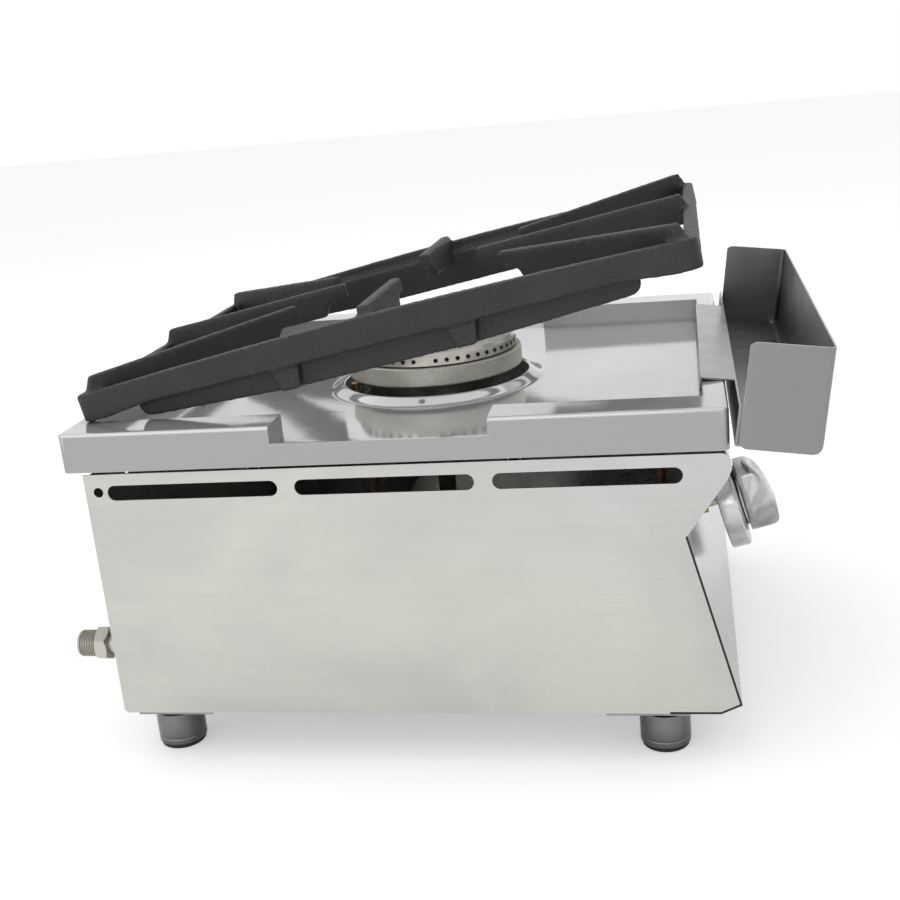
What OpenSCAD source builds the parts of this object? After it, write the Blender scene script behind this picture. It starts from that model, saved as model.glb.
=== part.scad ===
// Countertop gas burner: one open burner under a cast grate, on a folded steel body.
// X runs across the front, -Y is the front with the knob, +Z is up. Sizes in millimetres.
// The grate stands tipped up about its back edge and the trough hangs tipped on the front rim.

/* [Body] */
// Width across the worktop lip
body_w = 520; // [460:5:620]
// Depth of the worktop from lip to lip
body_d = 600; // [580:5:680]
// Height from the bottom sheet to the worktop lip
body_h = 247; // [235:1:275]
// Height of the worktop lip
lip_h = 37; // [36:1:42]
// Thickness of the stainless sheet
sheet = 1.5; // [1:0.1:2]
// Width of the raised rail along each side of the worktop
rail_w = 41.5; // [38:0.5:46]
// Width of the raised rim along the front and the back
rim_w = 20; // [18:0.5:24]
// How far the well floor lies below the rim at the sides
well_edge_drop = 25; // [24:0.5:26]
// How far the well floor lies below the rim round the burner
well_mid_drop = 27.5; // [26:0.5:29]
// Length of the low notch in each side rail
notch_l = 196; // [180:2:210]
// Lean of the front panel from upright, in degrees
panel_lean = 14.7; // [12:0.1:16]

/* [Side vents] */
// Length of one vent slot
slot_l = 163; // [130:1:170]
// Height of one vent slot
slot_h = 14.6; // [10:0.2:18]
// Steel left between two vent slots
slot_gap = 16; // [10:1:20]
// Number of vent slots on each side
slot_count = 3; // [1:1:3]

/* [Burner] */
// Outside radius of the cast burner base
burner_r = 91; // [84:0.5:94]
// Outside radius of the drilled crown
crown_r = 86; // [82:0.5:88]
// Radius of the opening in the worktop
opening_r = 97; // [95:0.5:102]
// Radius of one flame port
port_r = 1.5; // [1:0.1:2]
// Number of port places round the crown
port_places = 48; // [36:4:60]

/* [Grate] */
// Width of the cast grate
grate_w = 452; // [446:2:460]
// Depth of the cast grate
grate_d = 584; // [580:1:588]
// Thickness of the grate frame
grate_t = 12; // [10:0.5:14]
// Height of the finger crests above the feet of the grate
crest_h = 40; // [38:0.5:46]
// Angle that the grate is tipped up by, in degrees
grate_tip = 10.9; // [0:0.1:20]

/* [Front trough] */
// Length of the trough along its floor, front to back
trough_d = 70; // [60:1:90]
// Height of the trough's front wall and ends above the hook plate
trough_up = 55; // [40:1:70]
// Depth of the trough floor below the hook plate
trough_down = 36; // [30:1:45]
// Width of the hook plate that lies over the front rim
hook_w = 340; // [240:5:380]
// Angle that the trough leans forward by, in degrees
trough_tip = 7.4; // [0:0.1:10]

/* [Knob] */
// Radius of the knob's wide base
knob_r = 52; // [40:1:54]
// Height of the knob's axis above the lower edge of the front panel
knob_up = 101; // [92:1:106]
// Length of the knob's grip
grip_l = 31; // [24:1:40]

/* [Feet and inlet] */
// Height of the feet under the body
foot_h = 51; // [45:1:70]
// Outside radius of a foot
foot_r = 23.5; // [18:0.5:26]
// Distance of a foot's centre from the side panel
foot_in = 41; // [38:1:60]
// Outside radius of the threaded gas inlet
inlet_r = 13.2; // [12.5:0.1:15]
// Height of the gas inlet above the bottom sheet
inlet_up = 55; // [45:1:90]

/* [Hidden] */
$fn = 64;

// Clearances: running fit, faces that meet, folded sheets side by side
fit = 0.05;
touch = 0.3;
slack = 0.2;
// Cutters run past faces by over, pieces of one solid share a hair, wide is larger than the model
over = 1;
hair = 0.01;
wide = 2000;
hex = 6;

// Levels and planes of the body
floor_z = foot_h;
lip_z = foot_h + body_h;
top_z = lip_z + lip_h;
half_w = body_w / 2;
half_d = body_d / 2;
panel_in = 4;
side_x = half_w - panel_in;
side_top_gap = 3.5;
side_top_z = lip_z - side_top_gap;
back_in = 17.5;
back_y = half_d - back_in;
corner_r = 8;
bend_r = 4;
inner_w = 2 * (side_x - sheet - slack);

// Outline of the side panels: the front edge leans back, with a nose under the lip
toe_out = 4.5;
toe_up = 8.5;
toe_y = -half_d - toe_out;
toe_z = floor_z + toe_up;
chin_y = -half_d + 14;
lean_dy = sin(panel_lean);
lean_dz = cos(panel_lean);
nose_y = -half_d - 1;
nose_drop = 23.5;
nose_z = side_top_z - nose_drop;
nose_run = 50;
nose_r = 9;
vertex_z = nose_z - nose_run;
vertex_y = toe_y + (vertex_z - toe_z) * lean_dy / lean_dz;
nose_under = 3.8;
heel = 3;
tab_w = 24;
tab_l = 16;

// Vent slots
slot_drop = 21.7;
slot_z = lip_z - slot_drop;
slot_pitch = slot_l + slot_gap;
vent_hole_r = 4.7;
vent_hole_y = slot_count / 2 * slot_pitch + 1;
back_slot_l = 100;
back_slot_pitch = 130;

// Worktop well
well_w = body_w - 2 * rail_w;
well_d = body_d - 2 * rim_w;
well_flat = 250;
well_edge_z = top_z - well_edge_drop;
well_mid_z = top_z - well_mid_drop;
notch_rise = 9;
notch_lip_z = well_edge_z + notch_rise;
notch_brim = 2;
notch_fall = 8;
crest_rise = 7;
crest_z = well_mid_z + crest_rise;
collar_run = 18.6;
collar_r = opening_r + collar_run;
collar_skirt = 7;

// Burner stack
burner_y = -6;
base_rise = 5;
base_ring_h = 20.5;
base_top_z = top_z + base_rise;
base_low_z = base_top_z - base_ring_h;
ring_wall = 13;
seat_r = burner_r - ring_wall;
crown_h = 13;
crown_z = base_top_z + touch;
crown_top_z = base_top_z + crown_h;
port_z = base_top_z + 6;
throat_drop = 32;
throat_z = lip_z - throat_drop;
throat_l = 12;
strap_t = 2;
bracket_z = throat_z - strap_t;

// Mixing tube
mixer_z = lip_z - 66;
mixer_r = 17;
throat_r = 22;
tube_wall = 3;
mouth_l = 14;
mixer_front_y = -178;
mixer_l = burner_y - mixer_front_y;
window_w = 10;
window_l = 7;
window_back = 3;
jet_r = 7;
jet_head = 3;
jet_l = 14;
boss_r = 9;
boss_low = mixer_z - throat_r - 4;

// Bearers under the well
bearer_w = 12;
bearer_y = 118;
bearer_h = well_mid_z - sheet - side_top_z;

// Pilot group beside the burner
pilot_x = -14;
pilot_in = 5;
pilot_y = burner_y + burner_r - pilot_in;
pilot_r = 4.2;
sensor_x = 6;
sensor_in = 4;
sensor_y = burner_y + burner_r - sensor_in;
sensor_r = 3;
shelf_z = side_top_z + touch;
pilot_nut_h = 8;
sensor_nut_h = 6;
pilot_drop = 48.5;
shelf_t = 1.5;

// Grate: its pivot is its back lower edge, on the back rim
pivot_in = 11;
pivot_y = half_d - pivot_in;
pivot_z = top_z + touch;
grate_mid = pivot_y;
rail_end_h = 26;
rail_mid_h = 32;
rail_arch = 5;
bar_relief = 8;
rib_in = 14;
rib_t = 9;
rib_end = 54;
rib_end_h = 11;
rib_drop = 18;
lug_w = 26;
lug_reach = 12;
lug_off = notch_l / 2 - 1.5 - lug_w / 2;
finger_t = 11;
finger_low = 10;
centre_tip_r = 72;
corner_tip_r = 134;
tip_h = 14;

// Trough on the front rim
hook_rest = sheet - bend_r + (bend_r + touch) / cos(trough_tip) + (rim_w - bend_r) * tan(trough_tip);
hook_in = cos(trough_tip) * (sheet + touch - sin(trough_tip) * hook_rest);
hook_drop = 13;
hook_run = 31.2;
trough_y = -half_d + rim_w + hook_in;
bend_run = trough_y + half_d - bend_r;
bend_rise = (bend_r + touch + bend_run * sin(trough_tip)) / cos(trough_tip);
trough_z = top_z - bend_r + bend_rise + sheet;
trough_far = hook_run + trough_d;
trough_r = 6;
wing_r = 9;

// Knob and valve, along the normal of the front panel
knob_y = toe_y + knob_up * lean_dy;
knob_z = toe_z + knob_up * lean_dz;
knob_gap = 17.5;
knob_base_t = 21;
knob_cone = 2;
collar_t = 3;
collar_knob_r = 32;
grip_r = 38;
grip_w = 46;
spindle_r = 4;
flat_in = 1.2;
press_travel = 3;
valve_r = 15;
valve_l = 44;
bush_r = 9;
bush_l = 12;
valve_front = sheet + bush_l;
clip_t = 1.2;
clip_out = valve_front + 8;
clip_groove = 1;

// Gas inlet and supply pipe
inlet_in = 41;
inlet_x = -side_x + inlet_in;
inlet_z = floor_z + inlet_up;
pipe_r = 10.5;
nut_off = 22;
nut_y = back_y + nut_off;
nut_l = 13;
nut_r = 17.4;
nipple_l = 19;
bore_r = inlet_r - 4.2;
cross_in = 64;
cross_y = -half_d + cross_in;
riser_up = 75;
riser_top = floor_z + riser_up;
outlet_up = 40;
outlet_z = riser_top + outlet_up;
line_drop = 18;
line_z = outlet_z - line_drop;
line_y = cross_y + 6;

// Feet
foot_x = side_x - foot_in;
foot_front_y = -235;
foot_back_y = 245;
plate_t = 2.5;
plate_l = 75;
plate_w = 64;
pad_t = 4;
sleeve_gap = 13;
sleeve_top = foot_h - sleeve_gap;
cup_depth = 9;
stud_r = 5;
stud_low = 14;
stud_nut_r = 9.2;
stud_nut_h = 6;

// The whole model is shifted along Y so that the middle of its box is at the origin
front_reach = -trough_y + trough_far * cos(trough_tip) + trough_up * sin(trough_tip);
back_reach = nut_y + nut_l + nipple_l;
shift_y = (front_reach - back_reach) / 2;

module placed() {
    translate([0, shift_y, 0]) children();
}

// Rectangle with round corners, centred
module round_rect(w, d, r) {
    square([w - 2 * r, d], center = true);
    square([w, d - 2 * r], center = true);
    for (x = [-1, 1], y = [-1, 1])
        translate([x * (w / 2 - r), y * (d / 2 - r)]) circle(r);
}

// Slot with round ends, centred
module slot(length, h) {
    round_rect(length, h, h / 2 - hair);
}

// Profile in Y and Z, run along X from x0 by length
module along_x(x0, length) {
    translate([x0, 0, 0]) rotate([90, 0, 90]) linear_extrude(length) children();
}

// Profile in X and Z, run along Y from y0 towards the back
module along_y(y0, length) {
    translate([0, y0 + length, 0]) rotate([90, 0, 0]) linear_extrude(length) children();
}

// Rod between two points
module rod(a, b, r) {
    d = b - a;
    length = norm(d);
    translate(a)
        rotate([0, acos(d[2] / length), atan2(d[1], d[0])])
            cylinder(h = length, r = r);
}

// Bent tube through a list of points, with ball corners a little larger than the tube
module tube_path(points, r) {
    ball_share = 1.15;
    for (i = [0 : len(points) - 2]) rod(points[i], points[i + 1], r);
    for (i = [1 : len(points) - 2]) translate(points[i]) sphere(r * ball_share);
}

// Block with bent top edges and round upright corners, running down past the lip by below
module cap_block(grow, below) {
    w = body_w - 2 * grow;
    d = body_d - 2 * grow;
    r = bend_r - min(grow, bend_r - 1);
    h = lip_h - grow;
    intersection() {
        translate([0, 0, lip_z - below]) linear_extrude(h + below) round_rect(w, d, corner_r - grow);
        along_x(-w / 2, w) translate([0, top_z - grow - h]) round_rect(d, 2 * h, r);
        along_y(-d / 2, d) translate([0, top_z - grow - h]) round_rect(w, 2 * h, r);
    }
}

// Outline of the well floor across a half width, with air above it
function well_outline(half, grow) = [
    [-half - grow, well_edge_z - grow + over],
    [-half - grow, well_edge_z - grow],
    [-well_flat / 2, well_mid_z - grow],
    [well_flat / 2, well_mid_z - grow],
    [half + grow, well_edge_z - grow],
    [half + grow, well_edge_z - grow + over]];

// Air above the well floor, grown by the sheet thickness to give the underside
module well_air(grow) {
    w = well_w + 2 * grow;
    d = well_d + 2 * grow;
    edge = well_edge_z - grow;
    lip = notch_lip_z - grow;
    out = half_w + over;
    brim = half_w - notch_brim + grow * tan(atan2(notch_rise, notch_fall) / 2);
    translate([-w / 2, -d / 2, edge]) cube([w, d, lip_h]);
    intersection() {
        along_x(-w / 2, w) polygon(well_outline(well_d / 2, grow));
        along_y(-d / 2, d) polygon(well_outline(well_w / 2, grow));
    }
    along_y(-notch_l / 2 - grow, notch_l + 2 * grow) polygon([
        [-out, lip],
        [-brim, lip],
        [notch_fall - brim, edge],
        [brim - notch_fall, edge],
        [brim, lip],
        [out, lip],
        [out, top_z + over],
        [-out, top_z + over]]);
}

// Raised ring pressed round the burner opening
module collar_ring() {
    curl = 4;
    ease = 0.8;
    lip = 2;
    under = 3;
    translate([0, burner_y, 0]) rotate_extrude() polygon([
        [collar_r, well_mid_z - sheet],
        [collar_r, well_mid_z],
        [collar_r - curl, well_mid_z + ease],
        [opening_r + curl, crest_z - ease],
        [opening_r + lip, crest_z],
        [opening_r, crest_z - sheet],
        [opening_r, well_mid_z - collar_skirt],
        [opening_r + sheet, well_mid_z - collar_skirt],
        [opening_r + sheet, crest_z - under],
        [collar_r - curl - sheet, well_mid_z - sheet]]);
}

module worktop() {
    seam = 2;
    placed() color([0.83, 0.83, 0.82]) {
        difference() {
            union() {
                difference() {
                    cap_block(0, 0);
                    cap_block(sheet, over);
                }
                intersection() {
                    cap_block(0, 0);
                    well_air(sheet);
                }
            }
            well_air(0);
            translate([0, burner_y, lip_z - over])
                cylinder(h = lip_h + 2 * over, r = collar_r - seam);
        }
        collar_ring();
    }
}

// Two channels under the well floor that carry it on the side panels
module bearers() {
    placed() color([0.72, 0.72, 0.72])
        for (y = [-bearer_y, bearer_y])
            translate([-inner_w / 2, y - bearer_w / 2, side_top_z])
                difference() {
                    cube([inner_w, bearer_w, bearer_h]);
                    translate([-over, sheet, -over])
                        cube([inner_w + 2 * over, bearer_w - 2 * sheet, bearer_h - sheet + over]);
                }
}

// Outline of a side panel in Y and Z
module side_outline() {
    difference() {
        union() {
            polygon([
                [back_y, side_top_z],
                [back_y, floor_z + heel],
                [back_y - heel, floor_z],
                [chin_y, floor_z],
                [toe_y, toe_z],
                [vertex_y, vertex_z],
                [nose_y + nose_under, nose_z],
                [nose_y, nose_z + nose_r],
                [nose_y, side_top_z - nose_r],
                [nose_y + nose_r, side_top_z - nose_r],
                [nose_y + nose_r, side_top_z]]);
            translate([nose_y + nose_r, side_top_z - nose_r]) circle(nose_r);
        }
        for (i = [0 : slot_count - 1])
            translate([(i - (slot_count - 1) / 2) * slot_pitch, slot_z]) slot(slot_l, slot_h);
        translate([vent_hole_y, slot_z + 1]) circle(vent_hole_r);
    }
}

// Side panel with two inward tabs that carry the bearers
module side_panel(side) {
    outer = side * side_x;
    along_x(side < 0 ? outer : outer - sheet, sheet) side_outline();
    for (y = [-bearer_y, bearer_y])
        translate([side < 0 ? outer + hair : outer - tab_l - hair, y - tab_w / 2, side_top_z - sheet])
            cube([tab_l, tab_w, sheet]);
}

module side_left() {
    placed() color([0.81, 0.82, 0.79]) side_panel(-1);
}

module side_right() {
    placed() color([0.81, 0.82, 0.79]) side_panel(1);
}

// Point on the front panel's face: up along the face, out along its normal
function face_point(up, out) =
    [toe_y + up * lean_dy - out * lean_dz, toe_z + up * lean_dz + out * lean_dy];

// Frame whose Z axis is the knob's axis and whose origin is on the front panel
module along_knob() {
    translate([0, knob_y, knob_z]) rotate([90 - panel_lean, 0, 0]) children();
}

// Direction across a line from a to b, to its right
function across(a, b) = [b[1] - a[1], a[0] - b[0]] / norm(b - a);

// Inner corner of a sheet of thickness t that is folded at b
function inner_bend(a, b, c, t) =
    b + (across(a, b) + across(b, c)) * t / (1 + across(a, b) * across(b, c));

// Outline of a sheet of thickness t that is folded along a path
function folded(path, t) = let (last = len(path) - 1) concat(
    path,
    [path[last] + across(path[last - 1], path[last]) * t],
    [for (i = [last - 1 : -1 : 1]) inner_bend(path[i - 1], path[i], path[i + 1], t)],
    [path[0] + across(path[0], path[1]) * t]);

// Front panel: it leans back, follows the nose of the side panels and ends behind the worktop's lip
module front_panel() {
    low_fold = 18;
    tuck_in = 4;
    tuck_up = 3;
    tuck_fold = 8;
    tuck_y = -half_d + tuck_in;
    tuck_z = lip_z + tuck_up;
    placed() color([0.86, 0.86, 0.86]) difference() {
        along_x(-inner_w / 2, inner_w) polygon(folded([
            face_point(0, -low_fold),
            [toe_y, toe_z],
            [vertex_y, vertex_z],
            [nose_y + nose_under, nose_z],
            [nose_y, nose_z + nose_r],
            [tuck_y, tuck_z],
            [tuck_y + tuck_fold, tuck_z]], sheet));
        along_knob() translate([0, 0, -sheet - over])
            cylinder(h = sheet + 2 * over, r = bush_r + touch);
    }
}

module back_panel() {
    headroom = 2;
    y = back_y - heel - sheet;
    placed() color([0.78, 0.78, 0.77]) difference() {
        translate([-inner_w / 2, y, floor_z + sheet])
            cube([inner_w, sheet, side_top_z - floor_z - sheet - headroom]);
        translate([inlet_x, y - over, inlet_z]) rotate([-90, 0, 0])
            cylinder(h = sheet + 2 * over, r = pipe_r + touch);
        for (i = [-1, 0, 1])
            translate([i * back_slot_pitch, 0, slot_z])
                along_y(y - over, sheet + 2 * over) slot(back_slot_l, slot_h);
    }
}

// Bottom sheet with upturned sides and two cooling cut-outs
module bottom_panel() {
    tray_h = 22;
    vent_x = 110;
    vent_w = 60;
    vent_l = 200;
    vent_r = 14;
    y0 = chin_y + 6;
    length = back_y - heel - sheet - y0;
    placed() color([0.74, 0.74, 0.74]) {
        difference() {
            translate([-inner_w / 2, y0, floor_z]) cube([inner_w, length, sheet]);
            foot_places() translate([0, 0, floor_z - over])
                cylinder(h = 2 * over + sheet, r = stud_r + slack);
            for (x = [-vent_x, vent_x])
                translate([x, 0, floor_z - over])
                    linear_extrude(sheet + 2 * over) round_rect(vent_w, vent_l, vent_r);
        }
        for (x = [-inner_w / 2, inner_w / 2 - sheet])
            translate([x, y0, floor_z]) cube([sheet, length, tray_h]);
    }
}

// The four places of the feet
module foot_places() {
    for (x = [-foot_x, foot_x], y = [foot_front_y, foot_back_y])
        translate([x, y, 0]) children();
}

// Stiffening plates between the bottom sheet and the feet
module foot_plates() {
    edge = 1;
    inset = 14;
    x = side_x - edge - plate_w / 2;
    placed() color([0.8, 0.8, 0.8]) difference() {
        for (s = [-1, 1], y = [foot_front_y + inset, foot_back_y - inset])
            translate([s * x, y, floor_z - plate_t / 2])
                cube([plate_w, plate_l, plate_t], center = true);
        foot_places() translate([0, 0, floor_z - plate_t - over])
            cylinder(h = plate_t + 2 * over, r = stud_r + slack);
    }
}

// Cross strap that carries the burner base round its throat
module burner_bracket() {
    strap_w = 30;
    tab_h = 24;
    hub_r = 46;
    placed() color([0.7, 0.7, 0.7]) difference() {
        union() {
            translate([-inner_w / 2, burner_y - strap_w / 2, bracket_z])
                cube([inner_w, strap_w, strap_t]);
            for (x = [-inner_w / 2, inner_w / 2 - strap_t])
                translate([x, burner_y - strap_w / 2, bracket_z - tab_h])
                    cube([strap_t, strap_w, tab_h + hair]);
            translate([0, burner_y, bracket_z]) cylinder(h = strap_t, r = hub_r);
        }
        translate([0, burner_y, bracket_z - over])
            cylinder(h = strap_t + 2 * over, r = throat_r + touch);
    }
}

// Square post from the bottom sheet up to the boss under the mixing tube
module mixer_post() {
    post_w = 16;
    foot_w = 60;
    foot_l = 34;
    low = floor_z + sheet;
    placed() color([0.55, 0.45, 0.4]) translate([0, burner_y, 0]) {
        translate([-post_w / 2, -post_w / 2, low]) cube([post_w, post_w, boss_low - low]);
        translate([-foot_w / 2, -foot_l / 2, low]) cube([foot_w, foot_l, strap_t]);
    }
}

// Cast lower burner: a ring on a bowl with a throat
module burner_base() {
    foot_ring = 36;
    bowl_r = 66;
    ease = 1;
    placed() color([0.62, 0.62, 0.6]) translate([0, burner_y, 0]) rotate_extrude() polygon([
        [throat_r - tube_wall, throat_z - throat_l],
        [throat_r, throat_z - throat_l],
        [throat_r, throat_z],
        [foot_ring, throat_z],
        [foot_ring + 4, throat_z + 5],
        [bowl_r, base_low_z - 12],
        [seat_r - 2, base_low_z],
        [burner_r - 2, base_low_z],
        [burner_r, base_low_z + 2],
        [burner_r, base_top_z - ease],
        [burner_r - ease, base_top_z],
        [seat_r, base_top_z],
        [seat_r, base_top_z - 9],
        [seat_r - 6, base_top_z - 9],
        [seat_r - 18, base_low_z - 6],
        [foot_ring - 2, throat_z + 10],
        [throat_r - tube_wall, throat_z + 4]]);
}

// Drilled crown that drops into the base and lifts out for cleaning
module burner_crown() {
    wall = 8;
    roof = 4;
    spigot_h = 6;
    spigot_t = 5;
    dish_r = 22;
    spigot = seat_r - fit;
    inner = crown_r - wall;
    bore = 16;
    placed() color([0.78, 0.76, 0.7]) translate([0, burner_y, 0]) difference() {
        rotate_extrude() polygon([
            [spigot - spigot_t, base_top_z - spigot_h],
            [spigot, base_top_z - spigot_h],
            [spigot, crown_z],
            [crown_r - 1, crown_z],
            [crown_r, crown_z + 1],
            [crown_r - 1.5, crown_top_z - 3],
            [crown_r - 5, crown_top_z],
            [dish_r + 8, crown_top_z + 1.6],
            [dish_r, crown_top_z + 1],
            [dish_r - 2, crown_top_z - 1],
            [0, crown_top_z - 1],
            [0, crown_top_z - roof],
            [inner, crown_top_z - roof],
            [inner, base_top_z + roof],
            [spigot - spigot_t, base_top_z + roof]]);
        for (i = [0 : port_places - 1])
            if (i % (port_places / 4) > 0)
                translate([0, 0, port_z]) rotate([0, 90, (i + 0.5) * 360 / port_places - 90])
                    translate([0, 0, inner - 2]) cylinder(h = wall + 4, r = port_r, $fn = bore);
    }
}

// Outline of the mixing tube: wide at the throat, narrow, wide again at its mouth
function mixer_outline(inset, front) = [
    [0, 0],
    [throat_r - inset, 0],
    [mixer_r - inset, 50],
    [mixer_r - inset, mixer_l - mouth_l - 10],
    [throat_r - inset, mixer_l - mouth_l],
    [throat_r - inset, mixer_l + front],
    [0, mixer_l + front]];

// Mixing tube from the throat forward to the valve, with four air windows in its mouth
module venturi() {
    placed() color([0.55, 0.56, 0.57]) translate([0, burner_y, 0]) difference() {
        union() {
            translate([0, 0, mixer_z]) cylinder(h = throat_z - throat_l - mixer_z, r = throat_r);
            translate([0, 0, mixer_z]) sphere(throat_r);
            translate([0, 0, boss_low]) cylinder(h = mixer_z - throat_r - boss_low + 2.5, r = boss_r);
            translate([0, 0, mixer_z]) rotate([90, 0, 0])
                rotate_extrude() polygon(mixer_outline(0, 0));
        }
        translate([0, 0, mixer_z])
            cylinder(h = throat_z - throat_l - mixer_z + over, r = throat_r - tube_wall);
        translate([0, 0, mixer_z]) sphere(throat_r - tube_wall);
        translate([0, 0, mixer_z]) rotate([90, 0, 0])
            rotate_extrude() polygon(mixer_outline(tube_wall, over));
        translate([0, -mixer_l, mixer_z]) rotate([90, 0, 0]) air_windows();
    }
}

// Four windows round the mouth, open when the shutter stands at rest
module air_windows() {
    for (i = [0 : 3])
        rotate([0, 0, i * 90 + 45])
            translate([mixer_r - 5, -window_w / 2, -window_back - window_l])
                cube([2 * throat_r, window_w, window_l]);
}

// Cap that turns on the mouth of the mixing tube and meters its air
module air_shutter() {
    sleeve_l = 12;
    face_t = 1.5;
    inner = throat_r + fit;
    placed() color([0.72, 0.72, 0.7])
        translate([0, mixer_front_y, mixer_z]) rotate([90, 0, 0]) difference() {
            translate([0, 0, -sleeve_l]) cylinder(h = sleeve_l + touch + face_t, r = inner + sheet);
            translate([0, 0, -sleeve_l - over]) cylinder(h = sleeve_l + touch + over, r = inner);
            cylinder(h = 2 * sleeve_l, r = jet_r + fit);
            air_windows();
        }
}

// Brass jet that carries the air shutter
module injector() {
    shank_l = 6;
    head_r = 10;
    placed() color([0.78, 0.62, 0.3])
        translate([0, mixer_front_y, mixer_z]) rotate([90, 0, 0]) difference() {
            union() {
                translate([0, 0, -shank_l]) cylinder(h = shank_l + jet_head + hair, r = jet_r);
                translate([0, 0, jet_head]) cylinder(h = jet_l - jet_head, r = head_r, $fn = hex);
            }
            translate([0, 0, -shank_l - over]) cylinder(h = shank_l + jet_l - 2, r = 1.2);
        }
}

// Shelf on the rear bearer that carries the pilot and the thermocouple
module pilot_holder() {
    y0 = pilot_y - 8;
    y1 = bearer_y - bearer_w / 2;
    fold_h = 7;
    shelf_l = 44;
    placed() color([0.72, 0.72, 0.71]) difference() {
        union() {
            translate([-shelf_l * 0.6, y0, shelf_z]) cube([shelf_l, y1 - y0, shelf_t]);
            translate([-shelf_l * 0.6, y1 - shelf_t, shelf_z]) cube([shelf_l, shelf_t, fold_h]);
        }
        translate([pilot_x, pilot_y, shelf_z - over])
            cylinder(h = shelf_t + 2 * over, r = pilot_r + fit);
        translate([sensor_x, sensor_y, shelf_z - over])
            cylinder(h = shelf_t + 2 * over, r = sensor_r + fit);
    }
}

// Pilot burner standing in its shelf
module pilot() {
    body_l = 12;
    head_h = 4;
    placed() color([0.76, 0.6, 0.32]) translate([pilot_x, pilot_y, shelf_z]) {
        translate([0, 0, -pilot_nut_h]) cylinder(h = pilot_nut_h, r = pilot_r + 2.3, $fn = hex);
        translate([0, 0, -hair]) cylinder(h = body_l, r = pilot_r);
        translate([0, 0, body_l - 2 * hair]) cylinder(h = head_h, r = pilot_r + 1);
    }
}

// Copper line from the valve up past the first slot to the pilot
module pilot_tube() {
    rise_x = -60;
    rise_y = 54;
    top = shelf_z - pilot_nut_h;
    slope = 10;
    placed() color([0.72, 0.45, 0.3]) tube_path([
        [pilot_x, pilot_y, top],
        [pilot_x, pilot_y, side_top_z - pilot_drop],
        [rise_x, rise_y, side_top_z - pilot_drop - slope],
        [rise_x, rise_y, line_z],
        [rise_x, line_y, line_z],
        [-valve_r, line_y, line_z]], 3);
}

// Thermocouple beside the pilot
module thermocouple() {
    sensor_l = 22;
    placed() color([0.8, 0.8, 0.78]) translate([sensor_x, sensor_y, shelf_z]) {
        translate([0, 0, -sensor_nut_h]) cylinder(h = sensor_nut_h, r = sensor_r + 2, $fn = hex);
        translate([0, 0, -hair]) cylinder(h = sensor_l, r = sensor_r);
    }
}

// Lead of the thermocouple, down and forward to the valve
module thermocouple_tube() {
    turn_x = 40;
    top = shelf_z - sensor_nut_h;
    placed() color([0.74, 0.47, 0.32]) tube_path([
        [sensor_x, sensor_y, top],
        [sensor_x, sensor_y, line_z],
        [turn_x, line_y, line_z],
        [valve_r, line_y, line_z]], 2.5);
}

// Steel pipe from the inlet at the back to the valve at the front
module supply_pipe() {
    bored = 30;
    placed() color([0.6, 0.6, 0.58]) difference() {
        tube_path([
            [inlet_x, nut_y + 1, inlet_z],
            [inlet_x, cross_y, inlet_z],
            [0, cross_y, inlet_z],
            [0, cross_y, riser_top]], pipe_r);
        translate([inlet_x, nut_y - bored, inlet_z]) rotate([-90, 0, 0])
            cylinder(h = 2 * bored, r = pipe_r - tube_wall);
    }
}

// Threaded gas inlet
module inlet_nipple() {
    crest = 1.1;
    pitch = 1.8;
    flank = 0.6;
    land = 0.5;
    start = 1.4;
    turns = floor((nipple_l - 2 * start) / pitch);
    root_r = inlet_r - crest;
    placed() color([0.7, 0.68, 0.6])
        translate([inlet_x, nut_y + nut_l, inlet_z]) rotate([-90, 0, 0]) difference() {
            union() {
                cylinder(h = nipple_l, r = root_r);
                for (i = [0 : turns - 1])
                    translate([0, 0, start + i * pitch]) rotate_extrude() polygon([
                        [bore_r + 1, 0],
                        [root_r, 0],
                        [inlet_r, flank],
                        [inlet_r, flank + land],
                        [root_r, 2 * flank + land],
                        [bore_r + 1, 2 * flank + land]]);
            }
            translate([0, 0, -over]) cylinder(h = nipple_l + 2 * over, r = bore_r);
        }
}

// Six-sided nut between the pipe and the inlet
module inlet_nut() {
    socket = 1;
    placed() color([0.74, 0.74, 0.72])
        translate([inlet_x, nut_y, inlet_z]) rotate([-90, 0, 0]) difference() {
            cylinder(h = nut_l, r = nut_r, $fn = hex);
            translate([0, 0, -over]) cylinder(h = socket + over, r = pipe_r + hair);
            translate([0, 0, -over]) cylinder(h = nut_l + 2 * over, r = bore_r);
        }
}

// Gas valve behind the front panel, on the knob's axis
module valve_body() {
    bush_out = 3;
    lock_t = 5;
    chamber_r = 7;
    chamber_l = press_travel + 2 * clip_t;
    chamber_top = clip_out - clip_t / 2 - touch;
    inlet_l = 20;
    inlet_wall = 1.5;
    outlet_l = 16;
    outlet_r = 6;
    bore_in = 12;
    placed() color([0.76, 0.6, 0.3]) difference() {
        union() {
            along_knob() {
                translate([0, 0, -valve_front - valve_l]) cylinder(h = valve_l, r = valve_r);
                translate([0, 0, -valve_front - hair])
                    cylinder(h = valve_front + bush_out + hair, r = bush_r);
                translate([0, 0, -sheet - lock_t]) cylinder(h = lock_t, r = bush_r + 6, $fn = hex);
            }
            translate([0, cross_y, riser_top]) cylinder(h = inlet_l, r = pipe_r + inlet_wall);
            translate([0, cross_y, outlet_z - outlet_l]) cylinder(h = outlet_l, r = outlet_r);
        }
        along_knob() {
            translate([0, 0, -clip_out - bore_in])
                cylinder(h = clip_out + bore_in + bush_out + over, r = spindle_r + fit);
            translate([0, 0, -chamber_top - chamber_l]) cylinder(h = chamber_l, r = chamber_r);
        }
    }
}

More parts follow.
